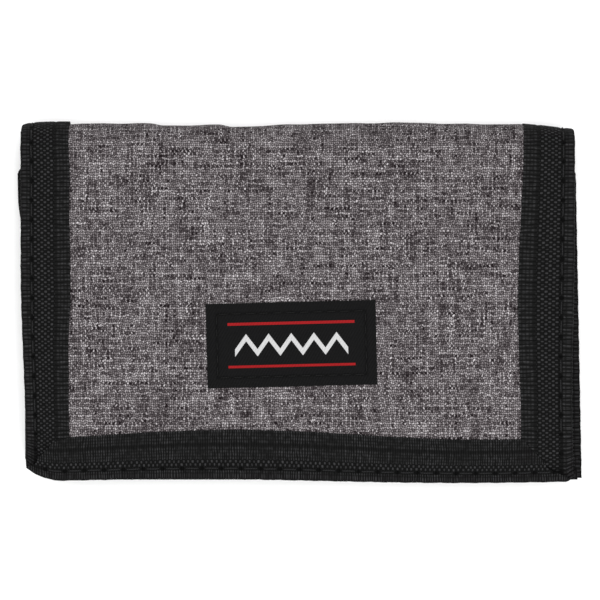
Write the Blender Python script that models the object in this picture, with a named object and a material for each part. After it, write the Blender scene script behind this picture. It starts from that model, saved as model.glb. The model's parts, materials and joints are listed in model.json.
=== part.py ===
"""Bifold sports wallet, folded shut and lying on its back.

X runs along the fold, +Y points towards the fold, +Z is up through the
thickness. Every number below is in millimetres and is turned into metres
when a mesh is made. The wallet is one fabric strip folded once: the back
half lies on the table, the spine turns through 180 degrees, and the flap
lies on top. Rigid bodies stand for those three stretches, with a hinge
line between each pair, and a zipped coin pocket closes the back half.
"""
import math

import bmesh
import bpy
from mathutils import Matrix, Vector

MM = 0.001

# Outline
FOLD_Y = 41.8             # outermost line of the folded spine
FREE_Y = -41.8            # free edge of the flap
BACK_FREE_Y = -41.3       # free edge of the back half
LEFT_X = -64.0            # side edges of the shell and of the flap
RIGHT_X = 63.2
TAPE_WIDTH = 11.0         # width of the binding tape on each face
GAP = 0.3                 # air between pieces that touch on the real wallet

# The fold
FOLD_RADIUS = 7.25        # outer radius, half of the closed thickness
FOLD_CENTRE = (FOLD_Y - FOLD_RADIUS, FOLD_RADIUS)
HINGE_INSET = FOLD_RADIUS * (1.0 - math.pi / 4.0)
LOWER_HINGE = (FOLD_Y - HINGE_INSET, HINGE_INSET)
UPPER_HINGE = (FOLD_Y - HINGE_INSET, 2.0 * FOLD_RADIUS - HINGE_INSET)
WALL_END = 50.0           # the back and the flap curve up to this angle
SPINE_END = 40.0          # the spine reaches this far each way
ARC_STEP = 8.0            # degrees between rings of a curved wall

# Binding channels: lower face, upper face, wall thickness
BACK_BINDING = (0.0, 5.8, 0.5)
POCKET_BINDING = (6.1, 8.3, 0.4)
FLAP_BINDING = (8.6, 14.5, 0.5)
SPINE_BINDING_DEPTH = 2.7

# Layers of the back half, from the outside in
BACK_SHELL = (0.0, 0.9, 1.3)      # field face, flange face, inner face
BACK_PADDING = (1.6, 2.6)
ZIP_TAPE = (3.0, 3.4)
BACK_LINING = (4.85, 5.05)
POCKET_PANEL = (6.75, 6.95)
POCKET_PANEL_TRIM = (6.6, 7.1)
WINDOW_FRAME = (7.25, 7.5)
WINDOW_FILM = (7.3, 7.45)
LOOP_STRIP = (7.8, 8.3)

# Layers of the flap, from the inside out
HOOK_STRIP = (8.55, 9.0)
CARD_SLOT_FLOOR = 9.3
CARD_SLOT_PITCH = 0.5
CARD_SLOT_THICKNESS = 0.2
FLAP_PANEL = (10.8, 11.05)
FLAP_LINING = (11.35, 11.6)
FLAP_PADDING = (11.9, 12.9)
FLAP_SHELL = (14.2, 13.6, 13.2)   # field face, flange face, inner face
LABEL = (14.5, 14.8)

# Layers of the spine, as depths below the fold's outer radius
SPINE_SHELL = (0.3, 0.9, 1.3)
SPINE_LINING = (1.65, 1.9)

# Coin pocket zip
ZIP_Y = 14.0
ZIP_WINDOW_HALF = 4.7     # half of the slot between the two shell panels
ZIP_TAPE_REACH = 11.0     # how far a zip tape runs from the zip's middle
COIL_GAP = 0.5            # from the zip's middle to a coil row
COIL_WIDTH = 1.2
COIL_HEIGHT = (2.6, 3.8)
COIL_ENDS = (-49.0, 49.0)
SLIDER_X = 41.0           # where the slider rests with the pocket shut
SLIDER_LENGTH = 7.6
SLIDER_WIDTH = 6.4
SLIDER_OUTER_PLATE = (1.7, 2.4)
SLIDER_INNER_PLATE = (4.0, 4.7)
SLIDER_POST_HALF = 0.2
SLIDER_POST_LENGTH = 2.6
CROWN_HALF_WIDTH = 0.8
CROWN_LEG = (2.1, 2.7)    # from the slider's middle, both ways along X
CROWN_TOP = (0.35, 0.75)
PULL_AXIS_Z = 1.22
PULL_BAR_RADIUS = 0.3
PULL_HALF_THICKNESS = 0.3
PULL_ARM = (1.1, 1.8)     # side arms of the pull, either side of the crown
PULL_HOLE_END = 3.3
PULL_HALF_WIDTH = 2.2
PULL_LENGTH = 16.0

# Inner pocket block of the back half
BLOCK_LEFT_X = -64.2
BLOCK_RIGHT_X = 64.2
BLOCK_TOP_Y = 30.6
BLOCK_FREE_Y = -40.7
BLOCK_LEAN = math.radians(1.1)
WINDOW_HALF_WIDTH = 39.0
WINDOW_Y = (-8.0, 19.0)
FRAME_TOP_Y = 25.0
STRIP_HALF_LENGTH = 38.0
STRIP_Y = (-28.5, -12.5)

# Card slots: top edge of each, the deepest slot first
CARD_SLOT_TOPS = (27.0, 18.0, 9.0)
TRIM_WIDTH = 2.4

# Label
LABEL_SIZE = (39.0, 19.4)
LABEL_CENTRE = (-2.1, -9.4)
LABEL_TURN = math.radians(2.0)

# Where each moving body's empty stands
ORIGINS = {
    "back": Vector((0.0, 0.0, 0.0)),
    "spine": Vector((0.0, LOWER_HINGE[0], LOWER_HINGE[1])),
    "flap": Vector((0.0, UPPER_HINGE[0], UPPER_HINGE[1])),
    "slider": Vector((SLIDER_X, ZIP_Y, PULL_AXIS_Z)),
    "pull": Vector((SLIDER_X, ZIP_Y, PULL_AXIS_Z)),
}
PARENTS = {"spine": "back", "flap": "spine", "slider": "back", "pull": "slider"}

MATERIALS = {
    "heather_fabric": ((0.145, 0.127, 0.133), 0.85, 0.0),
    "binding_tape": ((0.014, 0.014, 0.014), 0.80, 0.0),
    "lining_fabric": ((0.030, 0.030, 0.032), 0.70, 0.0),
    "foam": ((0.25, 0.25, 0.25), 0.95, 0.0),
    "label_satin": ((0.011, 0.011, 0.012), 0.45, 0.0),
    "zip_tape": ((0.020, 0.020, 0.021), 0.85, 0.0),
    "zip_coil": ((0.018, 0.018, 0.018), 0.40, 0.0),
    "zip_metal": ((0.42, 0.42, 0.43), 0.30, 1.0),
    "window_film": ((0.80, 0.82, 0.83), 0.15, 0.0),
    "hook_nylon": ((0.016, 0.016, 0.016), 0.55, 0.0),
    "loop_nylon": ((0.022, 0.022, 0.022), 0.95, 0.0),
}


def clear_scene():
    """Remove every object that the file opened with."""
    for obj in list(bpy.data.objects):
        bpy.data.objects.remove(obj, do_unlink=True)


def make_materials():
    """One Principled material for each kind of stuff."""
    made = {}
    for name, (colour, roughness, metallic) in MATERIALS.items():
        mat = bpy.data.materials.new(name)
        mat.use_nodes = True
        shader = mat.node_tree.nodes["Principled BSDF"]
        shader.inputs["Base Color"].default_value = (*colour, 1.0)
        shader.inputs["Roughness"].default_value = roughness
        shader.inputs["Metallic"].default_value = metallic
        made[name] = mat
    return made


def make_bodies():
    """An empty on each joint's axis, chained as the joints are."""
    empties = {}
    for name, origin in ORIGINS.items():
        empty = bpy.data.objects.new(name + "_body", None)
        empty.empty_display_size = 0.01
        bpy.context.collection.objects.link(empty)
        parent = PARENTS.get(name)
        offset = origin
        if parent:
            empty.parent = empties[parent]
            offset = origin - ORIGINS[parent]
        empty.location = offset * MM
        empties[name] = empty
    return empties


def finish(name, bm, body, material, soften=0.0, smooth=False):
    """Turn a bmesh drawn in wallet millimetres into an object of a body."""
    bmesh.ops.recalc_face_normals(bm, faces=bm.faces)
    bmesh.ops.translate(bm, vec=-ORIGINS[body], verts=bm.verts)
    bmesh.ops.scale(bm, vec=(MM, MM, MM), verts=bm.verts)
    mesh = bpy.data.meshes.new(name)
    bm.to_mesh(mesh)
    bm.free()
    mesh.materials.append(materials[material])
    obj = bpy.data.objects.new(name, mesh)
    bpy.context.collection.objects.link(obj)
    obj.parent = bodies[body]
    if smooth:
        mesh.shade_smooth()
        mesh.set_sharp_from_angle(angle=math.radians(35.0))
    if soften:
        bevel = obj.modifiers.new("soft_edges", "BEVEL")
        bevel.width = soften * MM
        bevel.segments = 2
        bevel.limit_method = "ANGLE"
        bevel.angle_limit = math.radians(50.0)
    return obj


def outline_face(bm, points):
    """A single face through a ring of points."""
    return bm.faces.new([bm.verts.new(point) for point in points])


def extrude(bm, face, step):
    """Extrude one face by a vector and return the face at its far end."""
    is_first = all(len(edge.link_faces) == 1 for edge in face.edges)
    grown = bmesh.ops.extrude_face_region(bm, geom=[face])["geom"]
    verts = [item for item in grown if isinstance(item, bmesh.types.BMVert)]
    bmesh.ops.translate(bm, vec=step, verts=verts)
    if not is_first:
        bmesh.ops.delete(bm, geom=[face], context="FACES_ONLY")
    return next(item for item in grown if isinstance(item, bmesh.types.BMFace))


def turn_about_fold(bm, face, degrees):
    """Extrude one face in steps around the axis of the fold."""
    centre = Vector((0.0, *FOLD_CENTRE))
    steps = max(1, round(abs(degrees) / ARC_STEP))
    turn = Matrix.Rotation(math.radians(degrees / steps), 3, "X")
    for _ in range(steps):
        face = extrude(bm, face, Vector())
        bmesh.ops.rotate(bm, cent=centre, matrix=turn, verts=face.verts)
    return face


def slab(name, body, material, x_span, y_span, z_span, turn=0.0, soften=0.06):
    """A flat rectangular piece, turned about its own middle."""
    bm = bmesh.new()
    bmesh.ops.create_cube(bm, size=1.0)
    spans = (x_span, y_span, z_span)
    size = Vector([span[1] - span[0] for span in spans])
    middle = Vector([sum(span) / 2.0 for span in spans])
    bmesh.ops.scale(bm, vec=size, verts=bm.verts)
    bmesh.ops.rotate(bm, matrix=Matrix.Rotation(turn, 3, "Z"), verts=bm.verts)
    bmesh.ops.translate(bm, vec=middle, verts=bm.verts)
    return finish(name, bm, body, material, soften=soften)


def channel_outline(levels):
    """Half-folded tape seen end on: (distance from its edge, height) pairs."""
    low, high, wall = levels
    return (
        (0.0, low),
        (TAPE_WIDTH, low),
        (TAPE_WIDTH, low + wall),
        (wall, low + wall),
        (wall, high - wall),
        (TAPE_WIDTH, high - wall),
        (TAPE_WIDTH, high),
        (0.0, high),
    )


def side_channel(bm, levels, edge_x, inward, start_y, end_y):
    """Tape folded over a side edge; returns its end face at end_y."""
    outline = channel_outline(levels)
    points = [(edge_x + inward * depth, start_y, height) for depth, height in outline]
    return extrude(bm, outline_face(bm, points), Vector((0.0, end_y - start_y, 0.0)))


def side_binding(name, body, levels, edge_x, inward, start_y, curl):
    """A side tape that follows the shell into the start of the fold."""
    bm = bmesh.new()
    end = side_channel(bm, levels, edge_x, inward, start_y, FOLD_CENTRE[0])
    turn_about_fold(bm, end, curl)
    return finish(name, bm, body, "binding_tape", smooth=True)


def free_edge_binding(name, body, levels, left_x, right_x, edge_y):
    """Tape folded over a free edge, across the whole width."""
    bm = bmesh.new()
    outline = channel_outline(levels)
    points = [(left_x, edge_y + depth, height) for depth, height in outline]
    extrude(bm, outline_face(bm, points), Vector((right_x - left_x, 0.0, 0.0)))
    return finish(name, bm, body, "binding_tape")


def leaning_binding(name, edge_x, inward):
    """A side tape of the pocket block, which leans with the block."""
    bm = bmesh.new()
    start_y = BLOCK_FREE_Y + TAPE_WIDTH + 2.0 * GAP
    side_channel(bm, POCKET_BINDING, edge_x, inward, start_y, BLOCK_TOP_Y)
    centre = Vector((edge_x, (BLOCK_TOP_Y + BLOCK_FREE_Y) / 2.0, 0.0))
    lean = Matrix.Rotation(BLOCK_LEAN, 3, "Z")
    bmesh.ops.rotate(bm, cent=centre, matrix=lean, verts=bm.verts)
    return finish(name, bm, "back", "binding_tape")


def spine_binding(name, edge_x, inward):
    """Tape folded over one end of the spine, spun around the fold."""
    bm = bmesh.new()
    high = FOLD_RADIUS
    levels = (high - SPINE_BINDING_DEPTH, high, BACK_BINDING[2])
    points = []
    for depth, radius in channel_outline(levels):
        points.append((edge_x + inward * depth, *fold_point(radius, -SPINE_END)))
    turn_about_fold(bm, outline_face(bm, points), 2.0 * SPINE_END)
    return finish(name, bm, "spine", "binding_tape", smooth=True)


def fold_point(radius, degrees):
    """(y, z) of a point around the fold; 0 degrees points along +Y."""
    angle = math.radians(degrees)
    y = FOLD_CENTRE[0] + radius * math.cos(angle)
    z = FOLD_CENTRE[1] + radius * math.sin(angle)
    return y, z


def arc_path(start, end):
    """Unit stations of a path around the fold: (y, z, normal y, normal z)."""
    steps = max(1, round(abs(end - start) / ARC_STEP))
    stations = []
    for index in range(steps + 1):
        degrees = start + (end - start) * index / steps
        y, z = fold_point(FOLD_RADIUS, degrees)
        angle = math.radians(degrees)
        stations.append((y, z, math.cos(angle), math.sin(angle)))
    return stations


def stepped_sheet(name, body, path, depths, bound_start, bound_sides=True):
    """Shell fabric whose margins are thinner where the tape covers them.

    The path runs through the shell's outermost line. Depths are measured
    below it: field face, flange face, inner face.
    """
    field, flange, inner = depths
    side = TAPE_WIDTH + GAP
    clear = BACK_BINDING[2] + GAP
    across = [(LEFT_X + clear, flange), (RIGHT_X - clear, flange)]
    if bound_sides:
        inside = [LEFT_X + side, RIGHT_X - side]
        across[1:1] = [(inside[0], flange), (inside[0], field)]
        across[3:3] = [(inside[1], field), (inside[1], flange)]
    along = [(station, field) for station in path]
    if bound_start:
        y, z, normal_y, normal_z = path[0]
        step = (y - clear + TAPE_WIDTH + GAP, z, normal_y, normal_z)
        along[0:1] = [(path[0], flange), (step, flange), (step, field)]
    bm = bmesh.new()
    outer_rows = []
    inner_rows = []
    for (y, z, normal_y, normal_z), row_depth in along:
        outer_row = []
        inner_row = []
        for x, column_depth in across:
            depth = max(row_depth, column_depth)
            outer_row.append(bm.verts.new((x, y - normal_y * depth, z - normal_z * depth)))
            inner_row.append(bm.verts.new((x, y - normal_y * inner, z - normal_z * inner)))
        outer_rows.append(outer_row)
        inner_rows.append(inner_row)
    skin(bm, outer_rows)
    skin(bm, inner_rows)
    rim = [bm_loop(outer_rows), bm_loop(inner_rows)]
    skin(bm, [rim[0] + rim[0][:1], rim[1] + rim[1][:1]])
    bmesh.ops.remove_doubles(bm, verts=bm.verts, dist=1e-4)
    return finish(name, bm, body, "heather_fabric", smooth=True)


def skin(bm, rows):
    """Fill the quads between neighbouring rows of vertices."""
    for first, second in zip(rows, rows[1:]):
        for index in range(len(first) - 1):
            corners = (first[index], first[index + 1], second[index + 1], second[index])
            bm.faces.new(corners)


def bm_loop(rows):
    """The outside ring of a grid of vertices, in order."""
    ring = list(rows[0])
    ring += [row[-1] for row in rows[1:]]
    ring += rows[-1][-2::-1]
    ring += [row[0] for row in rows[-2:0:-1]]
    return ring


def flat_station(y, upper):
    """A station of a shell path on the flat part of either half."""
    if upper:
        return (y, 2.0 * FOLD_RADIUS, 0.0, 1.0)
    return (y, 0.0, 0.0, -1.0)


def build_back_shell():
    """Outer fabric and padding of the back, parted by the zip."""
    depths = BACK_SHELL
    clear = BACK_BINDING[2] + GAP
    low_y = BACK_FREE_Y + clear
    below = ZIP_Y - ZIP_WINDOW_HALF
    above = ZIP_Y + ZIP_WINDOW_HALF
    lower_path = [flat_station(low_y, False), flat_station(below, False)]
    stepped_sheet("back_shell_lower", "back", lower_path, depths, True)
    upper_path = [flat_station(above, False)] + arc_path(-90.0, -WALL_END)
    stepped_sheet("back_shell_upper", "back", upper_path, depths, False)
    x_span = (LEFT_X + 2.0, RIGHT_X - 2.0)
    lower_y = (BACK_FREE_Y + 2.0, below)
    upper_y = (above, FOLD_CENTRE[0])
    slab("back_padding_lower", "back", "foam", x_span, lower_y, BACK_PADDING)
    slab("back_padding_upper", "back", "foam", x_span, upper_y, BACK_PADDING)


def build_zip():
    """Tapes, coils and stops of the coin pocket's zip."""
    for name, side in (("lower", -1.0), ("upper", 1.0)):
        near = ZIP_Y + side * (COIL_GAP + COIL_WIDTH + GAP)
        far = ZIP_Y + side * ZIP_TAPE_REACH
        x_span = (LEFT_X + 2.0, RIGHT_X - 2.0)
        slab("zip_tape_" + name, "back", "zip_tape", x_span, sorted((near, far)), ZIP_TAPE)
        coil_row("zip_coil_" + name, side)
        stop_y = sorted((ZIP_Y + side * COIL_GAP, ZIP_Y + side * (COIL_GAP + COIL_WIDTH)))
        stop_x = (COIL_ENDS[1] + GAP, COIL_ENDS[1] + GAP + 1.6)
        slab("zip_top_stop_" + name, "back", "zip_metal", stop_x, stop_y, COIL_HEIGHT)
    stop_x = (COIL_ENDS[0] - GAP - 2.0, COIL_ENDS[0] - GAP)
    reach = COIL_GAP + COIL_WIDTH
    stop_y = (ZIP_Y - reach, ZIP_Y + reach)
    slab("zip_bottom_stop", "back", "zip_metal", stop_x, stop_y, COIL_HEIGHT)


def coil_row(name, side):
    """One row of the zip's coil, as the smooth bar that it fills."""
    bm = bmesh.new()
    width = COIL_WIDTH / 2.0
    height = (COIL_HEIGHT[1] - COIL_HEIGHT[0]) / 2.0
    middle_y = ZIP_Y + side * (COIL_GAP + width)
    middle_z = sum(COIL_HEIGHT) / 2.0
    points = []
    for index in range(12):
        angle = 2.0 * math.pi * index / 12
        y = middle_y + width * math.cos(angle)
        z = middle_z + height * math.sin(angle)
        points.append((COIL_ENDS[0], y, z))
    extrude(bm, outline_face(bm, points), Vector((COIL_ENDS[1] - COIL_ENDS[0], 0.0, 0.0)))
    return finish(name, bm, "back", "zip_coil", smooth=True)


def build_slider():
    """Zip slider: two plates on a thin post, with a crown for the pull."""
    half = SLIDER_LENGTH / 2.0
    x_span = (SLIDER_X - half, SLIDER_X + half)
    y_span = (ZIP_Y - SLIDER_WIDTH / 2.0, ZIP_Y + SLIDER_WIDTH / 2.0)
    slider = slab("zip_slider", "slider", "zip_metal", x_span, y_span, SLIDER_OUTER_PLATE, soften=0.0)
    overlap = 0.2
    post_x = (SLIDER_X + half - SLIDER_POST_LENGTH, SLIDER_X + half - 0.3)
    post_y = (ZIP_Y - SLIDER_POST_HALF, ZIP_Y + SLIDER_POST_HALF)
    post_z = (SLIDER_OUTER_PLATE[1] - overlap, SLIDER_INNER_PLATE[0] + overlap)
    crown_y = (ZIP_Y - CROWN_HALF_WIDTH, ZIP_Y + CROWN_HALF_WIDTH)
    crown_x = (SLIDER_X - CROWN_LEG[1], SLIDER_X + CROWN_LEG[1])
    leg_z = (CROWN_TOP[0] + overlap, SLIDER_OUTER_PLATE[0] + overlap)
    parts = [
        ("inner_plate", x_span, y_span, SLIDER_INNER_PLATE),
        ("post", post_x, post_y, post_z),
        ("crown_bar", crown_x, crown_y, CROWN_TOP),
    ]
    for side in (-1.0, 1.0):
        leg_x = sorted((SLIDER_X + side * CROWN_LEG[0], SLIDER_X + side * CROWN_LEG[1]))
        parts.append(("crown_leg", leg_x, crown_y, leg_z))
    for part_name, x_range, y_range, z_range in parts:
        tool = slab(part_name, "slider", "zip_metal", x_range, y_range, z_range, soften=0.0)
        tool.hide_render = True
        tool.display_type = "WIRE"
        union = slider.modifiers.new(part_name, "BOOLEAN")
        union.operation = "UNION"
        union.solver = "EXACT"
        union.object = tool
    bevel = slider.modifiers.new("soft_edges", "BEVEL")
    bevel.width = 0.08 * MM
    bevel.segments = 1
    bevel.limit_method = "ANGLE"
    bevel.angle_limit = math.radians(50.0)


def build_pull():
    """Flat metal pull whose cross bar sits under the slider's crown."""
    bm = bmesh.new()
    low = PULL_AXIS_Z - PULL_HALF_THICKNESS
    hole_x = SLIDER_X - PULL_HOLE_END
    bar_x = SLIDER_X - PULL_BAR_RADIUS
    end_x = SLIDER_X + PULL_BAR_RADIUS
    neck = PULL_ARM[0]
    arm = PULL_ARM[1]
    far_x = SLIDER_X - PULL_LENGTH
    wide = PULL_HALF_WIDTH
    rows_x = (far_x, far_x + 1.2, hole_x - 2.0, hole_x, bar_x, end_x)
    half_widths = (wide * 0.6, wide, arm, arm, arm, arm)
    columns = []
    for x, half_width in zip(rows_x, half_widths):
        inner = min(neck, half_width * 0.6)
        offsets = (-half_width, -inner, inner, half_width)
        columns.append([bm.verts.new((x, ZIP_Y + offset, low)) for offset in offsets])
    faces = []
    for row in range(len(columns) - 1):
        for column in range(3):
            is_hole = row == 3 and column == 1
            if is_hole:
                continue
            corners = (
                columns[row][column],
                columns[row][column + 1],
                columns[row + 1][column + 1],
                columns[row + 1][column],
            )
            faces.append(bm.faces.new(corners))
    grown = bmesh.ops.extrude_face_region(bm, geom=faces)["geom"]
    verts = [item for item in grown if isinstance(item, bmesh.types.BMVert)]
    bmesh.ops.translate(bm, vec=(0.0, 0.0, 2.0 * PULL_HALF_THICKNESS), verts=verts)
    finish("zip_pull", bm, "pull", "zip_metal", soften=0.1)


def build_back_inside():
    """Lining, pocket panel, window pocket and loop strip of the back."""
    side = BACK_BINDING[2] + GAP
    x_span = (LEFT_X + side, RIGHT_X - side)
    slab("back_lining", "back", "lining_fabric", x_span, (BACK_FREE_Y + side, FOLD_CENTRE[0]),
         BACK_LINING, soften=0.0)
    inner_x = (BLOCK_LEFT_X + 1.9, BLOCK_RIGHT_X - 1.9)
    low_y = BLOCK_FREE_Y + side
    panel_top = BLOCK_TOP_Y - TRIM_WIDTH - GAP
    slab("pocket_panel_back", "back", "lining_fabric", inner_x, (low_y, panel_top),
         POCKET_PANEL, soften=0.0)
    field_x = (BLOCK_LEFT_X + TAPE_WIDTH + 1.4, BLOCK_RIGHT_X - TAPE_WIDTH - 1.4)
    slab("pocket_top_binding", "back", "binding_tape", field_x, (panel_top + GAP, BLOCK_TOP_Y),
         POCKET_PANEL_TRIM)
    field_low = BLOCK_FREE_Y + TAPE_WIDTH + GAP
    window_frame(field_x, (field_low, FRAME_TOP_Y))
    film_x = (-WINDOW_HALF_WIDTH + GAP, WINDOW_HALF_WIDTH - GAP)
    film_y = (WINDOW_Y[0] + GAP, WINDOW_Y[1] - GAP)
    slab("id_window_film", "back", "window_film", film_x, film_y, WINDOW_FILM, soften=0.0)
    strip_x = (-STRIP_HALF_LENGTH, STRIP_HALF_LENGTH)
    slab("loop_strip", "back", "loop_nylon", strip_x, STRIP_Y, LOOP_STRIP)


def window_frame(x_span, y_span):
    """Pocket front with a rectangular window cut through it."""
    bm = bmesh.new()
    low, high = WINDOW_FRAME
    xs = (x_span[0], -WINDOW_HALF_WIDTH, WINDOW_HALF_WIDTH, x_span[1])
    ys = (y_span[0], WINDOW_Y[0], WINDOW_Y[1], y_span[1])
    rows = [[bm.verts.new((x, y, low)) for x in xs] for y in ys]
    skin(bm, rows)
    bm.faces.ensure_lookup_table()
    bm.faces.remove(bm.faces[4])
    grown = bmesh.ops.extrude_face_region(bm, geom=bm.faces[:])["geom"]
    verts = [item for item in grown if isinstance(item, bmesh.types.BMVert)]
    bmesh.ops.translate(bm, vec=(0.0, 0.0, high - low), verts=verts)
    finish("id_window_frame", bm, "back", "lining_fabric")


def build_back_bindings():
    """Tapes around the back shell and around the pocket block."""
    start_y = BACK_FREE_Y + TAPE_WIDTH + GAP
    curl = 90.0 - WALL_END
    side_binding("back_left_binding", "back", BACK_BINDING, LEFT_X, 1.0, start_y, curl)
    side_binding("back_right_binding", "back", BACK_BINDING, RIGHT_X, -1.0, start_y, curl)
    free_edge_binding("back_bottom_binding", "back", BACK_BINDING, LEFT_X, RIGHT_X, BACK_FREE_Y)
    leaning_binding("pocket_left_binding", BLOCK_LEFT_X, 1.0)
    leaning_binding("pocket_right_binding", BLOCK_RIGHT_X, -1.0)
    shift = math.tan(BLOCK_LEAN) * (BLOCK_TOP_Y - BLOCK_FREE_Y) / 2.0
    free_edge_binding("pocket_bottom_binding", "back", POCKET_BINDING, BLOCK_LEFT_X + shift,
                      BLOCK_RIGHT_X + shift, BLOCK_FREE_Y)


def build_spine():
    """The stretch of shell, lining and tapes that turns the fold."""
    arc = arc_path(-SPINE_END, SPINE_END)
    stepped_sheet("spine_shell", "spine", arc, SPINE_SHELL, False)
    bm = bmesh.new()
    side = TAPE_WIDTH + GAP
    across = (LEFT_X + side, RIGHT_X - side)
    rows = []
    for depth in SPINE_LINING:
        for x in across:
            row = [bm.verts.new((x, y - ny * depth, z - nz * depth)) for y, z, ny, nz in arc]
            rows.append(row)
    ring = [rows[0], rows[1], rows[3], rows[2], rows[0]]
    skin(bm, ring)
    for end in (0, -1):
        bm.faces.new([row[end] for row in ring[:4]])
    finish("spine_lining", bm, "spine", "lining_fabric", smooth=True)
    spine_binding("spine_left_binding", LEFT_X, 1.0)
    spine_binding("spine_right_binding", RIGHT_X, -1.0)


def build_flap():
    """Everything that lifts with the upper half of the wallet."""
    clear = FLAP_BINDING[2] + GAP
    top = 2.0 * FOLD_RADIUS
    depths = [top - level for level in FLAP_SHELL]
    path = [flat_station(FREE_Y + clear, True)] + arc_path(90.0, WALL_END)
    stepped_sheet("flap_shell", "flap", path, depths, True)
    side_x = (LEFT_X + clear, RIGHT_X - clear)
    full_y = (FREE_Y + clear, FOLD_CENTRE[0])
    slab("flap_padding", "flap", "foam", side_x, full_y, FLAP_PADDING)
    slab("flap_lining", "flap", "lining_fabric", side_x, full_y, FLAP_LINING, soften=0.0)
    panel_y = (FREE_Y + clear, BLOCK_TOP_Y - TRIM_WIDTH - GAP)
    slab("pocket_panel_flap", "flap", "lining_fabric", side_x, panel_y, FLAP_PANEL, soften=0.0)
    build_card_slots()
    start_y = FREE_Y + TAPE_WIDTH + GAP
    curl = WALL_END - 90.0
    side_binding("flap_left_binding", "flap", FLAP_BINDING, LEFT_X, 1.0, start_y, curl)
    side_binding("flap_right_binding", "flap", FLAP_BINDING, RIGHT_X, -1.0, start_y, curl)
    free_edge_binding("flap_bottom_binding", "flap", FLAP_BINDING, LEFT_X, RIGHT_X, FREE_Y)
    half_x, half_y = LABEL_SIZE[0] / 2.0, LABEL_SIZE[1] / 2.0
    label_x = (LABEL_CENTRE[0] - half_x, LABEL_CENTRE[0] + half_x)
    label_y = (LABEL_CENTRE[1] - half_y, LABEL_CENTRE[1] + half_y)
    slab("label_patch", "flap", "label_satin", label_x, label_y, LABEL, turn=LABEL_TURN)


def build_card_slots():
    """Staggered card slots on the flap's inner face, and the hook strip."""
    field_x = (LEFT_X + TAPE_WIDTH + GAP, RIGHT_X - TAPE_WIDTH - GAP)
    field_low = FREE_Y + TAPE_WIDTH + GAP
    deepest = CARD_SLOT_FLOOR + CARD_SLOT_PITCH * (len(CARD_SLOT_TOPS) - 1)
    for index, top_y in enumerate(CARD_SLOT_TOPS):
        low = deepest - CARD_SLOT_PITCH * index
        span = (low, low + CARD_SLOT_THICKNESS)
        label = str(index + 1)
        sheet_top = top_y - TRIM_WIDTH - GAP
        slab("card_slot_" + label, "flap", "lining_fabric", field_x, (field_low, sheet_top),
             span, soften=0.0)
        slab("card_slot_trim_" + label, "flap", "binding_tape", field_x,
             (sheet_top + GAP, top_y), span, soften=0.0)
    trim_y = (BLOCK_TOP_Y - TRIM_WIDTH, BLOCK_TOP_Y)
    slab("flap_panel_trim", "flap", "binding_tape", field_x, trim_y, FLAP_PANEL, soften=0.0)
    strip_x = (-STRIP_HALF_LENGTH, STRIP_HALF_LENGTH)
    slab("hook_strip", "flap", "hook_nylon", strip_x, STRIP_Y, HOOK_STRIP)


clear_scene()
materials = make_materials()
bodies = make_bodies()
build_back_shell()
build_zip()
build_back_inside()
build_back_bindings()
build_spine()
build_flap()
build_slider()
build_pull()
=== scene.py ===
"""Looks of the folded sports wallet: cloth, tape, thread, label and zip."""
import json
import math
from collections import namedtuple

import bpy
import numpy as np
from mathutils import Matrix, Vector


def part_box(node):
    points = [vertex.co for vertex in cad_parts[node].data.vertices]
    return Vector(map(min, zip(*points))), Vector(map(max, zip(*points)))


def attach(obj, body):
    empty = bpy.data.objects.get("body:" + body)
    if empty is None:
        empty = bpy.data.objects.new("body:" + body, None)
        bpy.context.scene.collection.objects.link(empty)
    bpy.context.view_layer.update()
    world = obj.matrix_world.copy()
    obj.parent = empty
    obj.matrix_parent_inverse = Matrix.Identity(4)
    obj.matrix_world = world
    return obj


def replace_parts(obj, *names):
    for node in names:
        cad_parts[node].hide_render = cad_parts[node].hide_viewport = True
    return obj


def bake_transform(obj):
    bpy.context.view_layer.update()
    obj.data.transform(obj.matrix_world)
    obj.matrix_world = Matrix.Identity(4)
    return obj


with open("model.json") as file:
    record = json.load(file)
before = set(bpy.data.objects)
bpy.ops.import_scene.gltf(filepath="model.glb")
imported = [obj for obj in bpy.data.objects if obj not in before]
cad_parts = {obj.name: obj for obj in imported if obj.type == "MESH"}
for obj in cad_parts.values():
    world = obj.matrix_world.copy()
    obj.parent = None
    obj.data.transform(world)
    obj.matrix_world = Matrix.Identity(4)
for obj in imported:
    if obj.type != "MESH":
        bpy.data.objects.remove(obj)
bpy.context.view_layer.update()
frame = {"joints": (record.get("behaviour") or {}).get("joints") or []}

MM = 0.001

# Sizes read from the frame, in metres
FLAP_TAPE_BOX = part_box("flap_bottom_binding")
BACK_TAPE_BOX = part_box("back_bottom_binding")
LEFT_X = FLAP_TAPE_BOX[0].x
RIGHT_X = FLAP_TAPE_BOX[1].x
FREE_Y = FLAP_TAPE_BOX[0].y
BACK_FREE_Y = BACK_TAPE_BOX[0].y
TAPE_WIDTH = FLAP_TAPE_BOX[1].y - FREE_Y
THICKNESS = FLAP_TAPE_BOX[1].z
FLAP_DEPTH = THICKNESS - FLAP_TAPE_BOX[0].z
BACK_DEPTH = BACK_TAPE_BOX[1].z
FOLD_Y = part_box("spine_left_binding")[1].y
FOLD_RADIUS = THICKNESS / 2.0
FOLD_CENTRE_Y = FOLD_Y - FOLD_RADIUS
QUARTER_TURN = math.pi * FOLD_RADIUS / 2.0
FLAP_RUN = QUARTER_TURN + FOLD_CENTRE_Y - FREE_Y
BACK_RUN = QUARTER_TURN + FOLD_CENTRE_Y - BACK_FREE_Y
SPINE_DEPTH = 2.7 * MM

# Outer fabric: tucked under the side tapes and the bottom tape
SIDE_TUCK = TAPE_WIDTH - 3.0 * MM
FREE_TUCK = 7.5 * MM
CLOTH_WIDTH = RIGHT_X - LEFT_X - 2.0 * SIDE_TUCK - 1.4 * MM
CLOTH_THICKNESS = 0.35 * MM
CLOTH_STEP = 0.8 * MM
BACK_CLOTH_STEP_ALONG = 0.6 * MM

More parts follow.
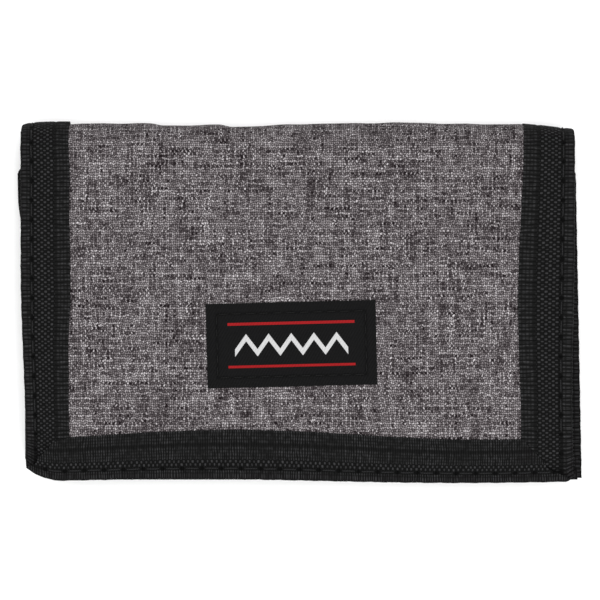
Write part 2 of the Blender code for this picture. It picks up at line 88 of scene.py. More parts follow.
# Binding tape, its two grooves and how far its face sinks at the edge
TAPE_THICKNESS = 0.45 * MM
BLOCK_TAPE_THICKNESS = 0.35 * MM
TAPE_STEP_ACROSS = 0.35 * MM
TAPE_STEP_ALONG = 0.6 * MM
TAPE_NOSE = 1.2 * MM
STITCH_INSET = 2.5 * MM
SECOND_GROOVE = 7.8 * MM
FLAP_PINCH = 1.15 * MM
BACK_PINCH = 1.1 * MM
BLOCK_PINCH = 0.35 * MM

# Seams
STITCH_PITCH = 4.5 * MM
THREAD_RADIUS = 0.21 * MM
FINE_THREAD_RADIUS = 0.16 * MM
SIDE_SEAM_END = 9.0 * MM

# Cloth simulation, run at a larger size so that it stays steady
SIM_SCALE = 10.0
SIM_FRAMES = 20
SIM_PRESSURE = 3.0
SIM_FABRIC = {
    "quality": 6,
    "mass": 0.4,
    "tension_stiffness": 25.0,
    "compression_stiffness": 25.0,
    "shear_stiffness": 8.0,
    "bending_stiffness": 1.0,
    "air_damping": 3.0,
    "shrink_min": -0.012,
}
CLOTH_SWELL = 0.35 * MM

# Coin pocket zip
ZIP_Y = (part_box("zip_coil_lower")[0].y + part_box("zip_coil_upper")[1].y) / 2.0
ZIP_OPENING_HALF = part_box("back_shell_upper")[0].y - ZIP_Y
ZIP_HEM_INSET = 3.2 * MM
ZIP_TAPE_WIDTH = 9.0 * MM
ZIP_TOOTH_PITCH = 1.15 * MM

# Pocket block of the back half
BLOCK_TOP_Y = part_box("pocket_left_binding")[1].y
BLOCK_FREE_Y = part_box("pocket_bottom_binding")[0].y
BLOCK_LEFT_X = -64.6 * MM
BLOCK_RIGHT_X = 64.6 * MM
BLOCK_LEAN = math.radians(1.1)
WINDOW_STEP = 1.4 * MM
WINDOW_SEAM_INSET = 1.6 * MM

# Label
LABEL_SIZE = (39.0 * MM, 19.4 * MM)
LABEL_TURN = math.radians(1.4)
LABEL_STEP = 0.4 * MM
LABEL_SEAM_INSET = 2.4 * MM


# ---------------------------------------------------------------- formulas

def smooth(value, low, high):
    """0 below low, 1 above high, and a smooth step between."""
    t = min(1.0, max(0.0, (value - low) / (high - low)))
    return t * t * (3.0 - 2.0 * t)


def bump(value, centre, width):
    """A bell of height 1."""
    return math.exp(-(((value - centre) / width) ** 2))


def ripple(value, wavelength, phase):
    """A gentle uneven wave between about -1 and 1."""
    t = 2.0 * math.pi * value / wavelength
    wave = math.sin(t + phase) + 0.6 * math.sin(2.3 * t + 1.7 * phase)
    return (wave + 0.35 * math.sin(4.1 * t + 2.9 * phase)) / 1.95


def squared_circle(angle, power_x, power_y):
    """Point of a unit circle, squared off by powers below 1."""
    cosine, sine = math.cos(angle), math.sin(angle)
    return math.copysign(abs(cosine) ** power_x, cosine), math.copysign(abs(sine) ** power_y, sine)


def full_turn(count):
    """Evenly spaced angles around a circle."""
    return [2.0 * math.pi * index / count for index in range(count)]


def steps(low, high, step):
    """Evenly spaced values from low to high, about one step apart."""
    return np.linspace(low, high, max(2, int(round((high - low) / step)) + 1))


def around_fold(run, depth, upper):
    """(y, z) of a point a given run from the fold's middle line.

    The run goes over the flap when upper is true, and under the back half
    otherwise. Depth is measured inward from the wallet's outermost skin.
    """
    side = 1.0 if upper else -1.0
    radius = FOLD_RADIUS - depth
    if run < QUARTER_TURN:
        angle = run / FOLD_RADIUS
        y = FOLD_CENTRE_Y + radius * math.cos(angle)
        z = FOLD_RADIUS + side * radius * math.sin(angle)
        return y, z
    return FOLD_CENTRE_Y - (run - QUARTER_TURN), FOLD_RADIUS + side * radius


def run_at(y):
    """Run from the fold's middle line to a y on the flat part; also the y at a run."""
    return QUARTER_TURN + FOLD_CENTRE_Y - y


# ------------------------------------------------------------ mesh helpers

def add_object(name, data):
    """Put a mesh, curve, light or camera in the scene."""
    obj = bpy.data.objects.new(name, data)
    bpy.context.collection.objects.link(obj)
    return obj


def mesh_piece(name, points, faces, uvs):
    """A smooth mesh; uvs gives each point's place on its flat cloth."""
    mesh = bpy.data.meshes.new(name)
    mesh.from_pydata(points, [], faces)
    uv_layer = mesh.uv_layers.new(name="cloth")
    for loop in mesh.loops:
        uv_layer.data[loop.index].uv = uvs[loop.vertex_index]
    mesh.shade_smooth()
    return add_object(name, mesh)


def grid_piece(name, columns, rows, place, uv_of=None, flip=False, keep=None):
    """A quad grid; place(column value, row value) gives each point.

    keep(column value, row value) is asked at each quad's middle.
    """
    width = len(columns)
    faces = []
    for j in range(len(rows) - 1):
        for i in range(width - 1):
            middle = ((columns[i] + columns[i + 1]) / 2.0, (rows[j] + rows[j + 1]) / 2.0)
            if keep and not keep(*middle):
                continue
            corner = j * width + i
            face = (corner, corner + 1, corner + 1 + width, corner + width)
            faces.append(face[::-1] if flip else face)
    spots = [(u, v) for v in rows for u in columns]
    uvs = [uv_of(u, v) for u, v in spots] if uv_of else spots
    return mesh_piece(name, [place(u, v) for u, v in spots], faces, uvs)


def applied_mesh(obj):
    """A copy of an object's mesh with its modifiers or curve settings applied."""
    bpy.context.view_layer.update()
    return bpy.data.meshes.new_from_object(obj.evaluated_get(bpy.context.evaluated_depsgraph_get()))


def thicken(obj, thickness):
    """Give a grid the thickness of its cloth, measured inward, with crisp rims."""
    solid = obj.modifiers.new("thickness", "SOLIDIFY")
    solid.thickness = thickness
    solid.offset = -1.0
    mesh = applied_mesh(obj)
    mesh.set_sharp_from_angle(angle=math.radians(62.0))
    obj.modifiers.remove(solid)
    obj.data = mesh
    return obj


def settle(cloth, is_sewn, limit):
    """Let a cloth swell and crease between its sewn places, by simulation.

    is_sewn(point) holds a point in place, and no point moves past limit.
    """
    mesh = cloth.data
    before = np.array([vertex.co for vertex in mesh.vertices])
    sewn = cloth.vertex_groups.new(name="sewn")
    sewn.add([index for index, point in enumerate(before) if is_sewn(point)], 1.0, "REPLACE")
    mesh.transform(Matrix.Scale(SIM_SCALE, 4))
    modifier = cloth.modifiers.new("settle", "CLOTH")
    modifier.point_cache.frame_end = SIM_FRAMES
    modifier.collision_settings.use_collision = False
    fabric = modifier.settings
    for key, value in SIM_FABRIC.items():
        setattr(fabric, key, value)
    fabric.vertex_group_mass = "sewn"
    fabric.use_pressure = True
    fabric.uniform_pressure_force = SIM_PRESSURE
    fabric.effector_weights.gravity = 0.0
    for number in range(1, SIM_FRAMES + 1):
        bpy.context.scene.frame_set(number)
    evaluated = cloth.evaluated_get(bpy.context.evaluated_depsgraph_get())
    after = np.array([vertex.co for vertex in evaluated.data.vertices]) / SIM_SCALE
    cloth.modifiers.remove(modifier)
    bpy.context.scene.frame_set(1)
    moved = after - before
    farthest = np.linalg.norm(moved, axis=1).max()
    moved *= min(1.0, limit / max(farthest, 1e-9))
    for vertex, point in zip(mesh.vertices, before + moved):
        vertex.co = point
    cloth.vertex_groups.clear()


def dress(obj, material):
    """Assign the finish."""
    obj.data.materials.clear()
    obj.data.materials.append(material)
    return obj


def install(obj, material, node, body):
    """Finish a piece that stands in for a CAD node and moves with one body."""
    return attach(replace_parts(dress(obj, material), node), body)


def bend_back(obj):
    """Bake a piece's placement into its mesh; it is not bent at the hinge between back and spine."""
    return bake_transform(obj)


def bend_flap(obj):
    """Bake a piece's placement into its mesh; it is not bent at the hinge between spine and flap."""
    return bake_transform(obj)


# ---------------------------------------------------------------- materials

class Value:
    """A number that shader nodes pass on, joined by ordinary arithmetic."""

    def __init__(self, graph, socket):
        self.graph = graph
        self.socket = socket

    def __add__(self, other):
        return self.graph.math("ADD", self, other)

    def __sub__(self, other):
        return self.graph.math("SUBTRACT", self, other)

    def __mul__(self, other):
        return self.graph.math("MULTIPLY", self, other)

    def __truediv__(self, other):
        return self.graph.math("DIVIDE", self, other)

    def __pow__(self, power):
        return self.graph.math("POWER", self, power)

    def __abs__(self):
        return self.graph.math("ABSOLUTE", self)

    def __gt__(self, limit):
        return self.graph.math("GREATER_THAN", self, limit)

    def __lt__(self, limit):
        return self.graph.math("LESS_THAN", self, limit)


class Graph:
    """Short ways to add and join one material's shader nodes."""

    def __init__(self, name):
        self.material = bpy.data.materials.new(name)
        self.material.use_nodes = True
        self.nodes = self.material.node_tree.nodes
        self.links = self.material.node_tree.links
        self.shader = self.nodes["Principled BSDF"]

    def add(self, kind, **values):
        node = self.nodes.new(kind)
        for key, value in values.items():
            setattr(node, key, value)
        return node

    def feed(self, socket, value):
        if isinstance(value, Value):
            self.links.new(value.socket, socket)
        else:
            socket.default_value = value

    def math(self, operation, first, second=0.0):
        node = self.add("ShaderNodeMath", operation=operation)
        self.feed(node.inputs[0], first)
        self.feed(node.inputs[1], second)
        return Value(self, node.outputs[0])

    def sine(self, angle):
        return self.math("SINE", angle)

    def larger(self, first, second):
        return self.math("MAXIMUM", first, second)

    def back_and_forth(self, value, reach):
        return self.math("PINGPONG", value, reach)

    def uv_mm(self):
        """The cloth UV map's two coordinates, in millimetres."""
        uv = self.add("ShaderNodeUVMap", uv_map="cloth")
        split = self.add("ShaderNodeSeparateXYZ")
        self.links.new(uv.outputs["UV"], split.inputs[0])
        return Value(self, split.outputs[0]) * 1000.0, Value(self, split.outputs[1]) * 1000.0

    def vector(self, x, y, z=0.0):
        node = self.add("ShaderNodeCombineXYZ")
        for socket, value in zip(node.inputs, (x, y, z)):
            self.feed(socket, value)
        return Value(self, node.outputs[0])

    def noise(self, place, scale=1.0, detail=2.0, roughness=0.5):
        """Noise at a place: a vector, or a tuple of two or three numbers."""
        node = self.add("ShaderNodeTexNoise")
        self.feed(node.inputs["Vector"], place if isinstance(place, Value) else self.vector(*place))
        node.inputs["Scale"].default_value = scale
        node.inputs["Detail"].default_value = detail
        node.inputs["Roughness"].default_value = roughness
        return Value(self, node.outputs[0])

    def mix(self, factor, first, second):
        node = self.add("ShaderNodeMix", data_type="FLOAT")
        self.feed(node.inputs[0], factor)
        self.feed(node.inputs[2], first)
        self.feed(node.inputs[3], second)
        return Value(self, node.outputs[0])

    def mix_colour(self, factor, first, second):
        node = self.add("ShaderNodeMix", data_type="RGBA")
        self.feed(node.inputs[0], factor)
        self.feed(node.inputs[6], first)
        self.feed(node.inputs[7], second)
        return Value(self, node.outputs[2])

    def ramp(self, factor, stops):
        """A colour ramp through (position, sRGB 0-255 colour) stops."""
        node = self.add("ShaderNodeValToRGB")
        elements = node.color_ramp.elements
        while len(elements) < len(stops):
            elements.new(0.5)
        for element, (position, colour) in zip(elements, stops):
            element.position = position
            element.color = linear(colour)
        self.feed(node.inputs[0], factor)
        return Value(self, node.outputs[0])

    def relief(self, height, distance):
        node = self.add("ShaderNodeBump")
        node.inputs["Distance"].default_value = distance
        self.feed(node.inputs["Height"], height)
        self.links.new(node.outputs[0], self.shader.inputs["Normal"])

    def finish(self, colour, roughness, **settings):
        self.feed(self.shader.inputs["Base Color"], colour)
        self.feed(self.shader.inputs["Roughness"], roughness)
        for key, value in settings.items():
            self.shader.inputs[key.replace("_", " ")].default_value = value
        return self.material


def linear(colour):
    """sRGB 0-255 to linear RGBA."""
    out = []
    for channel in colour:
        c = channel / 255.0
        out.append(c / 12.92 if c <= 0.04045 else ((c + 0.055) / 1.055) ** 2.4)
    return (*out, 1.0)


def plain_weave(g, u, v, pitch_u, pitch_v, side=0.6, end=0.6):
    """Plain weave: (yarn height, 1 where the warp is on top, column, row).

    side and end say how steeply a yarn falls off to its sides and its ends.
    """
    across = u / pitch_u
    along = v / pitch_v
    wave_u = g.sine(across * math.pi)
    wave_v = g.sine(along * math.pi)
    warp_up = wave_u * wave_v > 0.0
    warp = abs(wave_u) ** side * abs(wave_v) ** end
    weft = abs(wave_v) ** side * abs(wave_u) ** end
    height = g.mix(warp_up, weft, warp)
    return height, warp_up, g.math("FLOOR", across), g.math("FLOOR", along)


def heather_fabric():
    """Melange grey plain weave whose yarns change tone along their length."""
    g = Graph("heather_fabric")
    u, v = g.uv_mm()
    loose_u = g.noise((u * 0.5, v * 1.3, 2.0), detail=3.0) * 1.2 + u
    loose_v = g.noise((u * 1.3, v * 0.5, 9.0), detail=3.0) * 1.2 + v
    height, warp_up, column, row = plain_weave(g, loose_u, loose_v, 0.465, 0.574, side=1.5, end=0.3)

    def yarn_tone(warp_place, weft_place):
        """Noise along whichever yarn is on top, centred on 0."""
        return g.mix(warp_up, g.noise(weft_place), g.noise(warp_place)) - 0.5

    slow = yarn_tone((column * 3.7, v * 0.11), (u * 0.10, row * 4.3, 7.0))
    fast = yarn_tone((column * 5.1, v * 0.55, 3.0), (u * 0.5, row * 6.7, 5.0))
    band = yarn_tone((column * 0.45, v * 0.12, 1.0), (u * 0.09, row * 0.55, 4.0))
    tone = slow * 1.45 + fast * 1.4 + band * 0.8 + warp_up * 0.05 + 0.505
    colour = g.ramp(tone, (
        (0.10, (30, 22, 25)),
        (0.34, (82, 76, 78)),
        (0.60, (136, 130, 132)),
        (0.94, (190, 185, 187)),
    ))
    g.relief(height, 0.16 * MM)
    # The colour fades to the near black (16, 12, 14) where the yarn height falls between the yarns: painted
    # shade in the weave's gaps.
    return g.finish(g.mix_colour(height * 1.08, linear((16, 12, 14)), colour), 0.9, Specular_IOR_Level=0.06)


def binding_tape(name, rib_pitch, dotted_band):
    """Black ribbed tape with a band of dots between two distances from its fold."""
    g = Graph(name)
    u, v = g.uv_mm()
    reach = abs(u)
    pick = g.noise((u * 0.5, v), 0.45) * 0.9 + v
    pillow, warp_up = plain_weave(g, u, pick, 0.74, 0.54)[:2]
    rib = abs(g.sine(pick * (math.pi / rib_pitch))) ** 0.6
    dots = pillow ** 0.5 * (warp_up * 0.75 + 0.25)
    in_band = (reach > dotted_band[0]) * (reach < dotted_band[1])
    height = g.mix(in_band, rib * (pillow * 0.45 + 0.45), dots)
    seams = []
    for inset, half_width in ((STITCH_INSET / MM, 0.5), (SECOND_GROOVE / MM, 0.4)):
        away = (reach - inset) / half_width
        seams.append(g.larger(away * away * -1.0 + 1.0, 0.0))
    groove = g.larger(seams[0], seams[1] * 0.7)
    from_needle = g.back_and_forth(v, STITCH_PITCH / MM / 2.0) / 0.55
    pit = g.larger(seams[0] - from_needle * from_needle, 0.0)
    wear = g.noise((u, v), 0.9, detail=4.0)
    # The tone is painted shade where it follows the relief: darker in the valleys between the ribs and
    # dots, in the two seam grooves and in the needle holes; the wear noise varies it at random.
    tone = height * (wear * 1.5 + 0.15) * (groove * -0.6 + 1.0) * (pit * -0.9 + 1.0)
    colour = g.ramp(tone, ((0.0, (5, 5, 5)), (0.5, (21, 21, 21)), (1.0, (50, 50, 51))))
    g.relief(height - pit * 1.5, 0.18 * MM)
    return g.finish(colour, 0.8, Specular_IOR_Level=0.04)


def sewing_thread(name, shaded_valley, lit_crest):
    """Black two-ply thread with a faint gloss."""
    g = Graph(name)
    u, v = g.uv_mm()
    ply = abs(g.sine(u * 6.0 + v * 9.0))
    g.relief(ply, 0.06 * MM)
    # The colour runs from the dark valley colour between the plies to the light crest colour on them:
    # painted shade in the valleys and painted light on the crests.
    return g.finish(g.ramp(ply, ((0.0, shaded_valley), (1.0, lit_crest))), 0.6, Specular_IOR_Level=0.15)


def label_satin():
    """Black satin with a woven zigzag between two thin red lines."""
    g = Graph("label_satin")
    u, v = g.uv_mm()
    float_line = g.sine(u * 9.0 + v * 21.0) * 0.5 + 0.5
    pick = g.sine(v * 26.0) * 0.5 + 0.5
    slub = g.noise((u * 0.4, v * 3.0))
    # The black floats and the white and red picks are darker where their relief sinks and lighter where it
    # rises: painted shade and light across the weave; slub varies the black at random.
    black = g.ramp(float_line * (slub * 0.8 + 0.3), ((0.0, (6, 6, 6)), (1.0, (22, 22, 23))))
    white = g.mix_colour(pick, linear((160, 160, 161)), linear((194, 194, 194)))
    red = g.mix_colour(pick, linear((104, 14, 17)), linear((158, 28, 31)))
    from_line = abs(v - (g.back_and_forth(u + 65.0, 2.6) * 1.35 - 1.75))
    zigzag = (from_line < 0.85) * (abs(u) < 13.0)
    rail = (abs(abs(v) - 4.9) < 0.32) * (abs(u) < 14.6)
    colour = g.mix_colour(rail, g.mix_colour(zigzag, black, white), red)
    # The satin is darkened towards near black in a band along the seam line: painted shade in the stitches'
    # groove.
    from_seam = abs(g.larger(abs(u) - 17.1, abs(v) - 7.3))
    seam = g.larger(from_seam * -2.2 + 1.0, 0.0)
    colour = g.mix_colour(seam * 0.8, colour, linear((3, 3, 3)))
    g.relief(g.larger(zigzag, rail) * 1.2 + pick * 0.5 + float_line * 0.35, 0.08 * MM)
    return g.finish(colour, 0.6, Specular_IOR_Level=0.05)


def lining_fabric():
    """Smooth dark nylon lining in a fine plain weave."""
    g = Graph("lining_fabric")
    u, v = g.uv_mm()
    height, warp_up, column = plain_weave(g, u, v, 0.30, 0.34)[:3]
    streak = g.noise((column * 2.1, v * 0.3))
    cloud = g.noise((u, v), 0.12, detail=3.0)
    # The height term darkens the gaps between the yarns: painted shade; streak and cloud vary the tone at
    # random.
    tone = warp_up * 0.25 + height * 0.4 + streak * 0.3 + cloud * 0.2 - 0.1
    colour = g.ramp(tone, ((0.0, (24, 24, 26)), (0.5, (48, 48, 51)), (1.0, (80, 80, 84))))
    g.relief(height, 0.08 * MM)
    return g.finish(colour, 0.6, Specular_IOR_Level=0.25)


def zip_cloth_fabric():
    """Twill of the zip tapes."""
    g = Graph("zip_tape_cloth")
    u, v = g.uv_mm()
    line = g.sine(u * 7.0 + v * 7.0) * 0.5 + 0.5
    wear = g.noise((u, v), 0.7, detail=3.0)
    g.relief(line, 0.1 * MM)
    # The twill's valleys, where line is low, are darker: painted shade; the wear noise varies the tone at
    # random.
    return g.finish(g.ramp(line * (wear * 0.7 + 0.5), ((0.0, (16, 16, 16)), (1.0, (52, 52, 53)))), 0.7)


def zip_nylon():
    """Moulded nylon of the zip coils."""
    g = Graph("zip_coil_nylon")
    mottle = g.noise(g.uv_mm(), 1.3, detail=3.0)
    return g.finish(g.ramp(mottle, ((0.3, (18, 18, 19)), (0.7, (34, 34, 36)))), mottle * 0.25 + 0.22)


def plated_metal():
    """Nickel plate with fine brushing and rubbed patches."""
    g = Graph("zip_metal_plate")
    place = Value(g, g.add("ShaderNodeTexCoord").outputs["Object"])
    stretch = g.add("ShaderNodeMapping")
    g.feed(stretch.inputs["Vector"], place)
    stretch.inputs["Scale"].default_value = (300.0, 3500.0, 3500.0)
    brushing = g.noise(Value(g, stretch.outputs[0]), detail=3.0)
    patches = g.noise(place, 420.0, detail=4.0)
    g.relief(brushing, 0.01 * MM)
    colour = g.ramp(patches, ((0.3, (158, 157, 154)), (0.7, (196, 196, 195))))
    return g.finish(colour, brushing * 0.22 + 0.16, Metallic=1.0)


def foam_padding():
    """Open-cell foam between shell and lining."""
    g = Graph("foam_padding")
    cells = g.add("ShaderNodeTexVoronoi")
    g.feed(cells.inputs["Vector"], g.vector(*g.uv_mm()))
    cells.inputs["Scale"].default_value = 2.6
    from_cell = Value(g, cells.outputs["Distance"])
    g.relief(from_cell, 0.1 * MM)
    # Darker towards each cell's middle, where the relief sinks: painted shade in the cells.
    return g.finish(g.ramp(from_cell, ((0.0, (96, 96, 98)), (0.6, (150, 150, 150)))), 0.95)


def window_film():
    """Clear film with a slight tint, haze and handling scuffs."""
    g = Graph("window_film")
    u, v = g.uv_mm()
    scuffs = g.noise((u * 0.25, v * 2.0), detail=4.0)
    g.relief(scuffs, 0.02 * MM)
    colour = g.ramp(scuffs, ((0.35, (128, 134, 138)), (0.75, (160, 164, 168))))
    return g.finish(colour, scuffs * 0.2 + 0.02, Alpha=0.2, Specular_IOR_Level=0.8)


def fastener(name, pitch_u, pitch_v, tones, fuzz):
    """Hook or loop strip: a field of small tufts on a woven ground."""
    g = Graph(name)
    u, v = g.uv_mm()
    wander = g.noise((u, v), 0.8, detail=4.0) * fuzz
    across = u / pitch_u + wander
    along = v / pitch_v - wander
    tuft = abs(g.sine(across * math.pi) * g.sine(along * math.pi)) ** 0.8
    strands = g.noise((u, v), 3.5, detail=5.0, roughness=0.7)
    g.relief(strands * 0.5 + tuft, 0.3 * MM)
    # Dark between the tufts and light on them: painted shade between the tufts, varied at random by the
    # strands noise.
    colour = g.ramp(tuft * (strands * 0.9 + 0.35), ((0.0, tones[0]), (1.0, tones[1])))
    return g.finish(colour, 0.75, Sheen_Weight=0.2)


heather = heather_fabric()
tape = binding_tape("binding_tape", 0.95, (2.7, 7.6))
end_tape = binding_tape("binding_tape_free_edge", 0.56, (3.0, 4.6))
thread = sewing_thread("sewing_thread", (7, 7, 7), (30, 30, 31))
label_thread = sewing_thread("label_thread", (3, 3, 3), (15, 15, 15))
satin = label_satin()
lining = lining_fabric()
zip_cloth = zip_cloth_fabric()
nylon = zip_nylon()
metal = plated_metal()
foam = foam_padding()
clear_film = window_film()
hooks = fastener("hook_strip_nylon", 0.75, 0.9, ((12, 12, 12), (70, 70, 72)), 0.15)
loops = fastener("loop_strip_pile", 0.6, 0.6, ((16, 16, 16), (62, 62, 63)), 1.6)


# ------------------------------------------------------------------- thread

def ring(run, index, radius, sides):
    """Points around a thread at one point of its run; its ends are smaller."""
    ahead = run[min(index + 1, len(run) - 1)]
    behind = run[max(index - 1, 0)]
    along = (ahead - behind).normalized()
    helper = Vector((0.0, 0.0, 1.0)) if abs(along.z) < 0.9 else Vector((1.0, 0.0, 0.0))
    across = along.cross(helper).normalized()
    over = across.cross(along)
    size = radius * (0.35 if index in (0, len(run) - 1) else 1.0)
    spokes = [math.cos(angle) * across + math.sin(angle) * over for angle in full_turn(sides)]
    return [run[index] + size * spoke for spoke in spokes]


def tube(name, runs, radius, sides=6):
    """Thread or wire along each list of points, with rounded ends."""
    points = []
    faces = []
    uvs = []
    for run in runs:
        run = [Vector(point) for point in run]
        first = len(points)
        travelled = 0.0
        for index, point in enumerate(run):
            travelled += (point - run[max(index - 1, 0)]).length
            points += ring(run, index, radius, sides)
            uvs += [(radius * angle, travelled) for angle in full_turn(sides)]
        last = first + (len(run) - 1) * sides
        for low in range(first, last, sides):
            for corner in range(sides):
                following = (corner + 1) % sides
                faces.append((low + corner, low + following, low + sides + following, low + sides + corner))
        faces.append(tuple(range(first, first + sides))[::-1])
        faces.append(tuple(range(last, last + sides)))
    return mesh_piece(name, points, faces, uvs)


def seam_runs(point_at, length, pitch, first=0.0):
    """Points of each stitch along a seam; point_at(distance, rise)."""
    runs = []
    for number in range(max(1, int(round(length / pitch)))):
        stitch = []
        for index in range(7):
            share = index / 6.0
            distance = first + (number + 0.1 + 0.8 * share) * pitch
            rise = 0.34 * MM * math.sin(math.pi * share) ** 0.6 - 0.2 * MM
            stitch.append(point_at(distance, rise))
        runs.append(stitch)
    return runs


def stitches(name, point_at, first, last, pitch=STITCH_PITCH, radius=THREAD_RADIUS):
    """A row of stitches between two distances; needle holes at whole pitches."""
    first = math.ceil(first / pitch) * pitch
    last = math.floor(last / pitch) * pitch
    return dress(tube(name, seam_runs(point_at, last - first, pitch, first), radius), thread)


def rectangle_seam(name, low, high, pitch, place):
    """Fine stitches around a rectangle; place(x, y, rise) gives each point."""
    sides = (
        (low[0], low[1], 1.0, 0.0, high[0] - low[0]),
        (high[0], low[1], 0.0, 1.0, high[1] - low[1]),
        (high[0], high[1], -1.0, 0.0, high[0] - low[0]),
        (low[0], high[1], 0.0, -1.0, high[1] - low[1]),
    )
    runs = []
    for start_x, start_y, step_x, step_y, length in sides:
        def point_at(along, rise):
            return place(start_x + step_x * along, start_y + step_y * along, rise)

        runs += seam_runs(point_at, length, length / round(length / pitch))
    return tube(name, runs, FINE_THREAD_RADIUS)


# ---------------------------------------------------- outlines of both halves

def uneven(along):
    """Small unevenness of a sewn tape's edge."""
    return 0.07 * MM * ripple(along, 5.3 * MM, 0.9)


def left_edge(y):
    """Outer line of the flap's left side, at each height y."""
    return LEFT_X + uneven(y) - 0.25 * MM + 1.2 * MM * (1.0 - smooth(y, -34.0 * MM, 8.0 * MM))


def right_edge(y):
    """Outer line of the flap's right side."""
    return RIGHT_X + uneven(y) + 0.2 * MM - 0.6 * MM * bump(y, -22.0 * MM, 22.0 * MM)


def left_inner(y):
    """Inner line of the flap's left tape."""
    return LEFT_X + TAPE_WIDTH + 0.1 * MM + 0.35 * MM * ripple(y, 62.0 * MM, 0.6)


def right_inner(y):
    """Inner line of the flap's right tape, which widens in the middle."""
    top_flare = 1.4 * MM * smooth(y, 0.0, 40.0 * MM)
    free_flare = 0.7 * MM * smooth(-y, 0.0, 30.0 * MM)
    return RIGHT_X - 13.0 * MM + top_flare + free_flare


def left_corner(x):
    """How far the free edges draw back at their rounded left corner."""
    return 3.6 * MM * (max(0.0, -54.0 * MM - x) / (9.5 * MM)) ** 2.2


def free_edge(x):
    """Outer line of the flap's free edge, with its rounded corners."""
    wave = 0.45 * MM * math.cos(2.0 * math.pi * (x + 26.0 * MM) / (126.0 * MM))
    right_corner = smooth(x, 61.2 * MM, 63.6 * MM)
    return FREE_Y + 0.55 * MM + uneven(x) + wave + left_corner(x) + 1.0 * MM * right_corner


def free_inner(x):
    """Inner line of the flap's bottom tape."""
    wave = 1.15 * MM * math.cos(2.0 * math.pi * (x + 15.0 * MM) / (115.0 * MM))
    return FREE_Y + 11.3 * MM + wave


def flap_tape_ends(inset):
    """The flap's bottom tape ends in a slanted fold at each corner."""
    slant = smooth(inset, 4.0 * MM, 10.2 * MM)
    tip = smooth(inset, 9.6 * MM, 11.0 * MM)
    nose = smooth(-inset, -4.2 * MM, 0.0)
    left = LEFT_X + (3.6 + 3.4 * slant + 4.0 * tip - 2.6 * nose) * MM
    right = RIGHT_X - (6.6 + 4.4 * slant + 0.4 * tip - 6.0 * nose) * MM
    return left, right


def near_fold(y, flap_value, own_value):
    """The back half's own line, which meets the flap's line at the fold."""
    return own_value + (flap_value - own_value) * smooth(y, 12.0 * MM, 38.0 * MM)


def back_left_edge(y):
    return near_fold(y, left_edge(y), LEFT_X + 0.25 * MM * ripple(y, 80.0 * MM, 2.2) + 0.3 * MM)


def back_right_edge(y):
    return near_fold(y, right_edge(y), RIGHT_X + 0.25 * MM * ripple(y, 80.0 * MM, 0.3) - 0.3 * MM)


def back_left_inner(y):
    return near_fold(y, left_inner(y), LEFT_X + TAPE_WIDTH + 0.3 * MM * ripple(y, 55.0 * MM, 1.1))


def back_right_inner(y):
    return near_fold(y, right_inner(y), RIGHT_X - TAPE_WIDTH - 0.3 * MM * ripple(y, 55.0 * MM, 2.6))


def back_free_edge(x):
    """Outer line of the back's bottom tape."""
    return BACK_FREE_Y + 0.35 * MM * ripple(x, 110.0 * MM, 1.9) + 0.3 * MM + 1.1 * left_corner(x)


def back_free_inner(x):
    """Inner line of the back's bottom tape."""
    return BACK_FREE_Y + TAPE_WIDTH + 0.4 * MM * ripple(x, 90.0 * MM, 0.2)


def slanted_ends(low_x, high_x, shortest, inset):
    """Ends of a bottom tape that slants inward from its fold."""
    slant = (shortest + 4.5 * smooth(inset, 1.0 * MM, 10.0 * MM)) * MM
    return low_x + slant, high_x - slant


def back_tape_ends(inset):
    """Where the back's bottom tape starts and stops."""
    return slanted_ends(LEFT_X, RIGHT_X, 1.3, inset)


def fold_sag(x, run):
    """How far the fold's ends sink in, fading out along the run."""
    right = 0.35 * MM * smooth(x, 46.0 * MM, 51.0 * MM) + 0.085 * max(0.0, x - 50.0 * MM)
    left = 0.5 * MM * smooth(-x, 61.5 * MM, 64.4 * MM)
    return (left + right) * (1.0 - smooth(run, 0.0, 9.0 * MM))


# One half of the wallet. Its outer skin lies at skin_z, and depth grows in the
# inward direction, 1 or -1. run is the way from the fold's middle to free_y.
# sides gives the outer and inner line of each side tape, and edge and inner
# those of the bottom tape, which starts and stops at ends.
Half = namedtuple("Half", "name upper skin_z inward depth run free_y edge inner ends pinch sides bend")
FLAP_SIDES = (("left", left_edge, left_inner), ("right", right_edge, right_inner))
BACK_SIDES = (("left", back_left_edge, back_left_inner), ("right", back_right_edge, back_right_inner))
FLAP = Half("flap", True, THICKNESS, -1.0, FLAP_DEPTH, FLAP_RUN, FREE_Y, free_edge, free_inner,
            flap_tape_ends, FLAP_PINCH, FLAP_SIDES, bend_flap)
BACK = Half("back", False, 0.0, 1.0, BACK_DEPTH, BACK_RUN, BACK_FREE_Y, back_free_edge, back_free_inner,
            back_tape_ends, BACK_PINCH, BACK_SIDES, bend_back)


# --------------------------------------------------------------- outer cloth

def cloth_depth(x, run):
    """Depth of the outer fabric below the wallet's outermost skin."""
    side = min(x - LEFT_X - TAPE_WIDTH, RIGHT_X - TAPE_WIDTH - x)
    emerge = smooth(side, -1.5 * MM, 3.0 * MM)
    crown = smooth(side, 0.0, 30.0 * MM)
    dip = 0.4 * MM * smooth(x, -34.5 * MM, -31.5 * MM) * (1.0 - smooth(x, -12.0 * MM, 8.0 * MM))
    dip += 0.5 * MM * smooth(x, -18.5 * MM, -15.5 * MM) * (1.0 - smooth(x, -13.0 * MM, 2.0 * MM))
    dip += 0.22 * MM * ripple(x, 34.0 * MM, 0.4)
    at_fold = 1.0 - smooth(run, 0.0, 7.0 * MM)
    return 0.75 * MM - 0.25 * MM * emerge - 0.2 * MM * crown + (dip + 0.1 * MM) * at_fold * emerge


def flap_cloth_point(x, run):
    """A point of the flap's fabric."""
    return (x, *around_fold(run, cloth_depth(x, run), True))


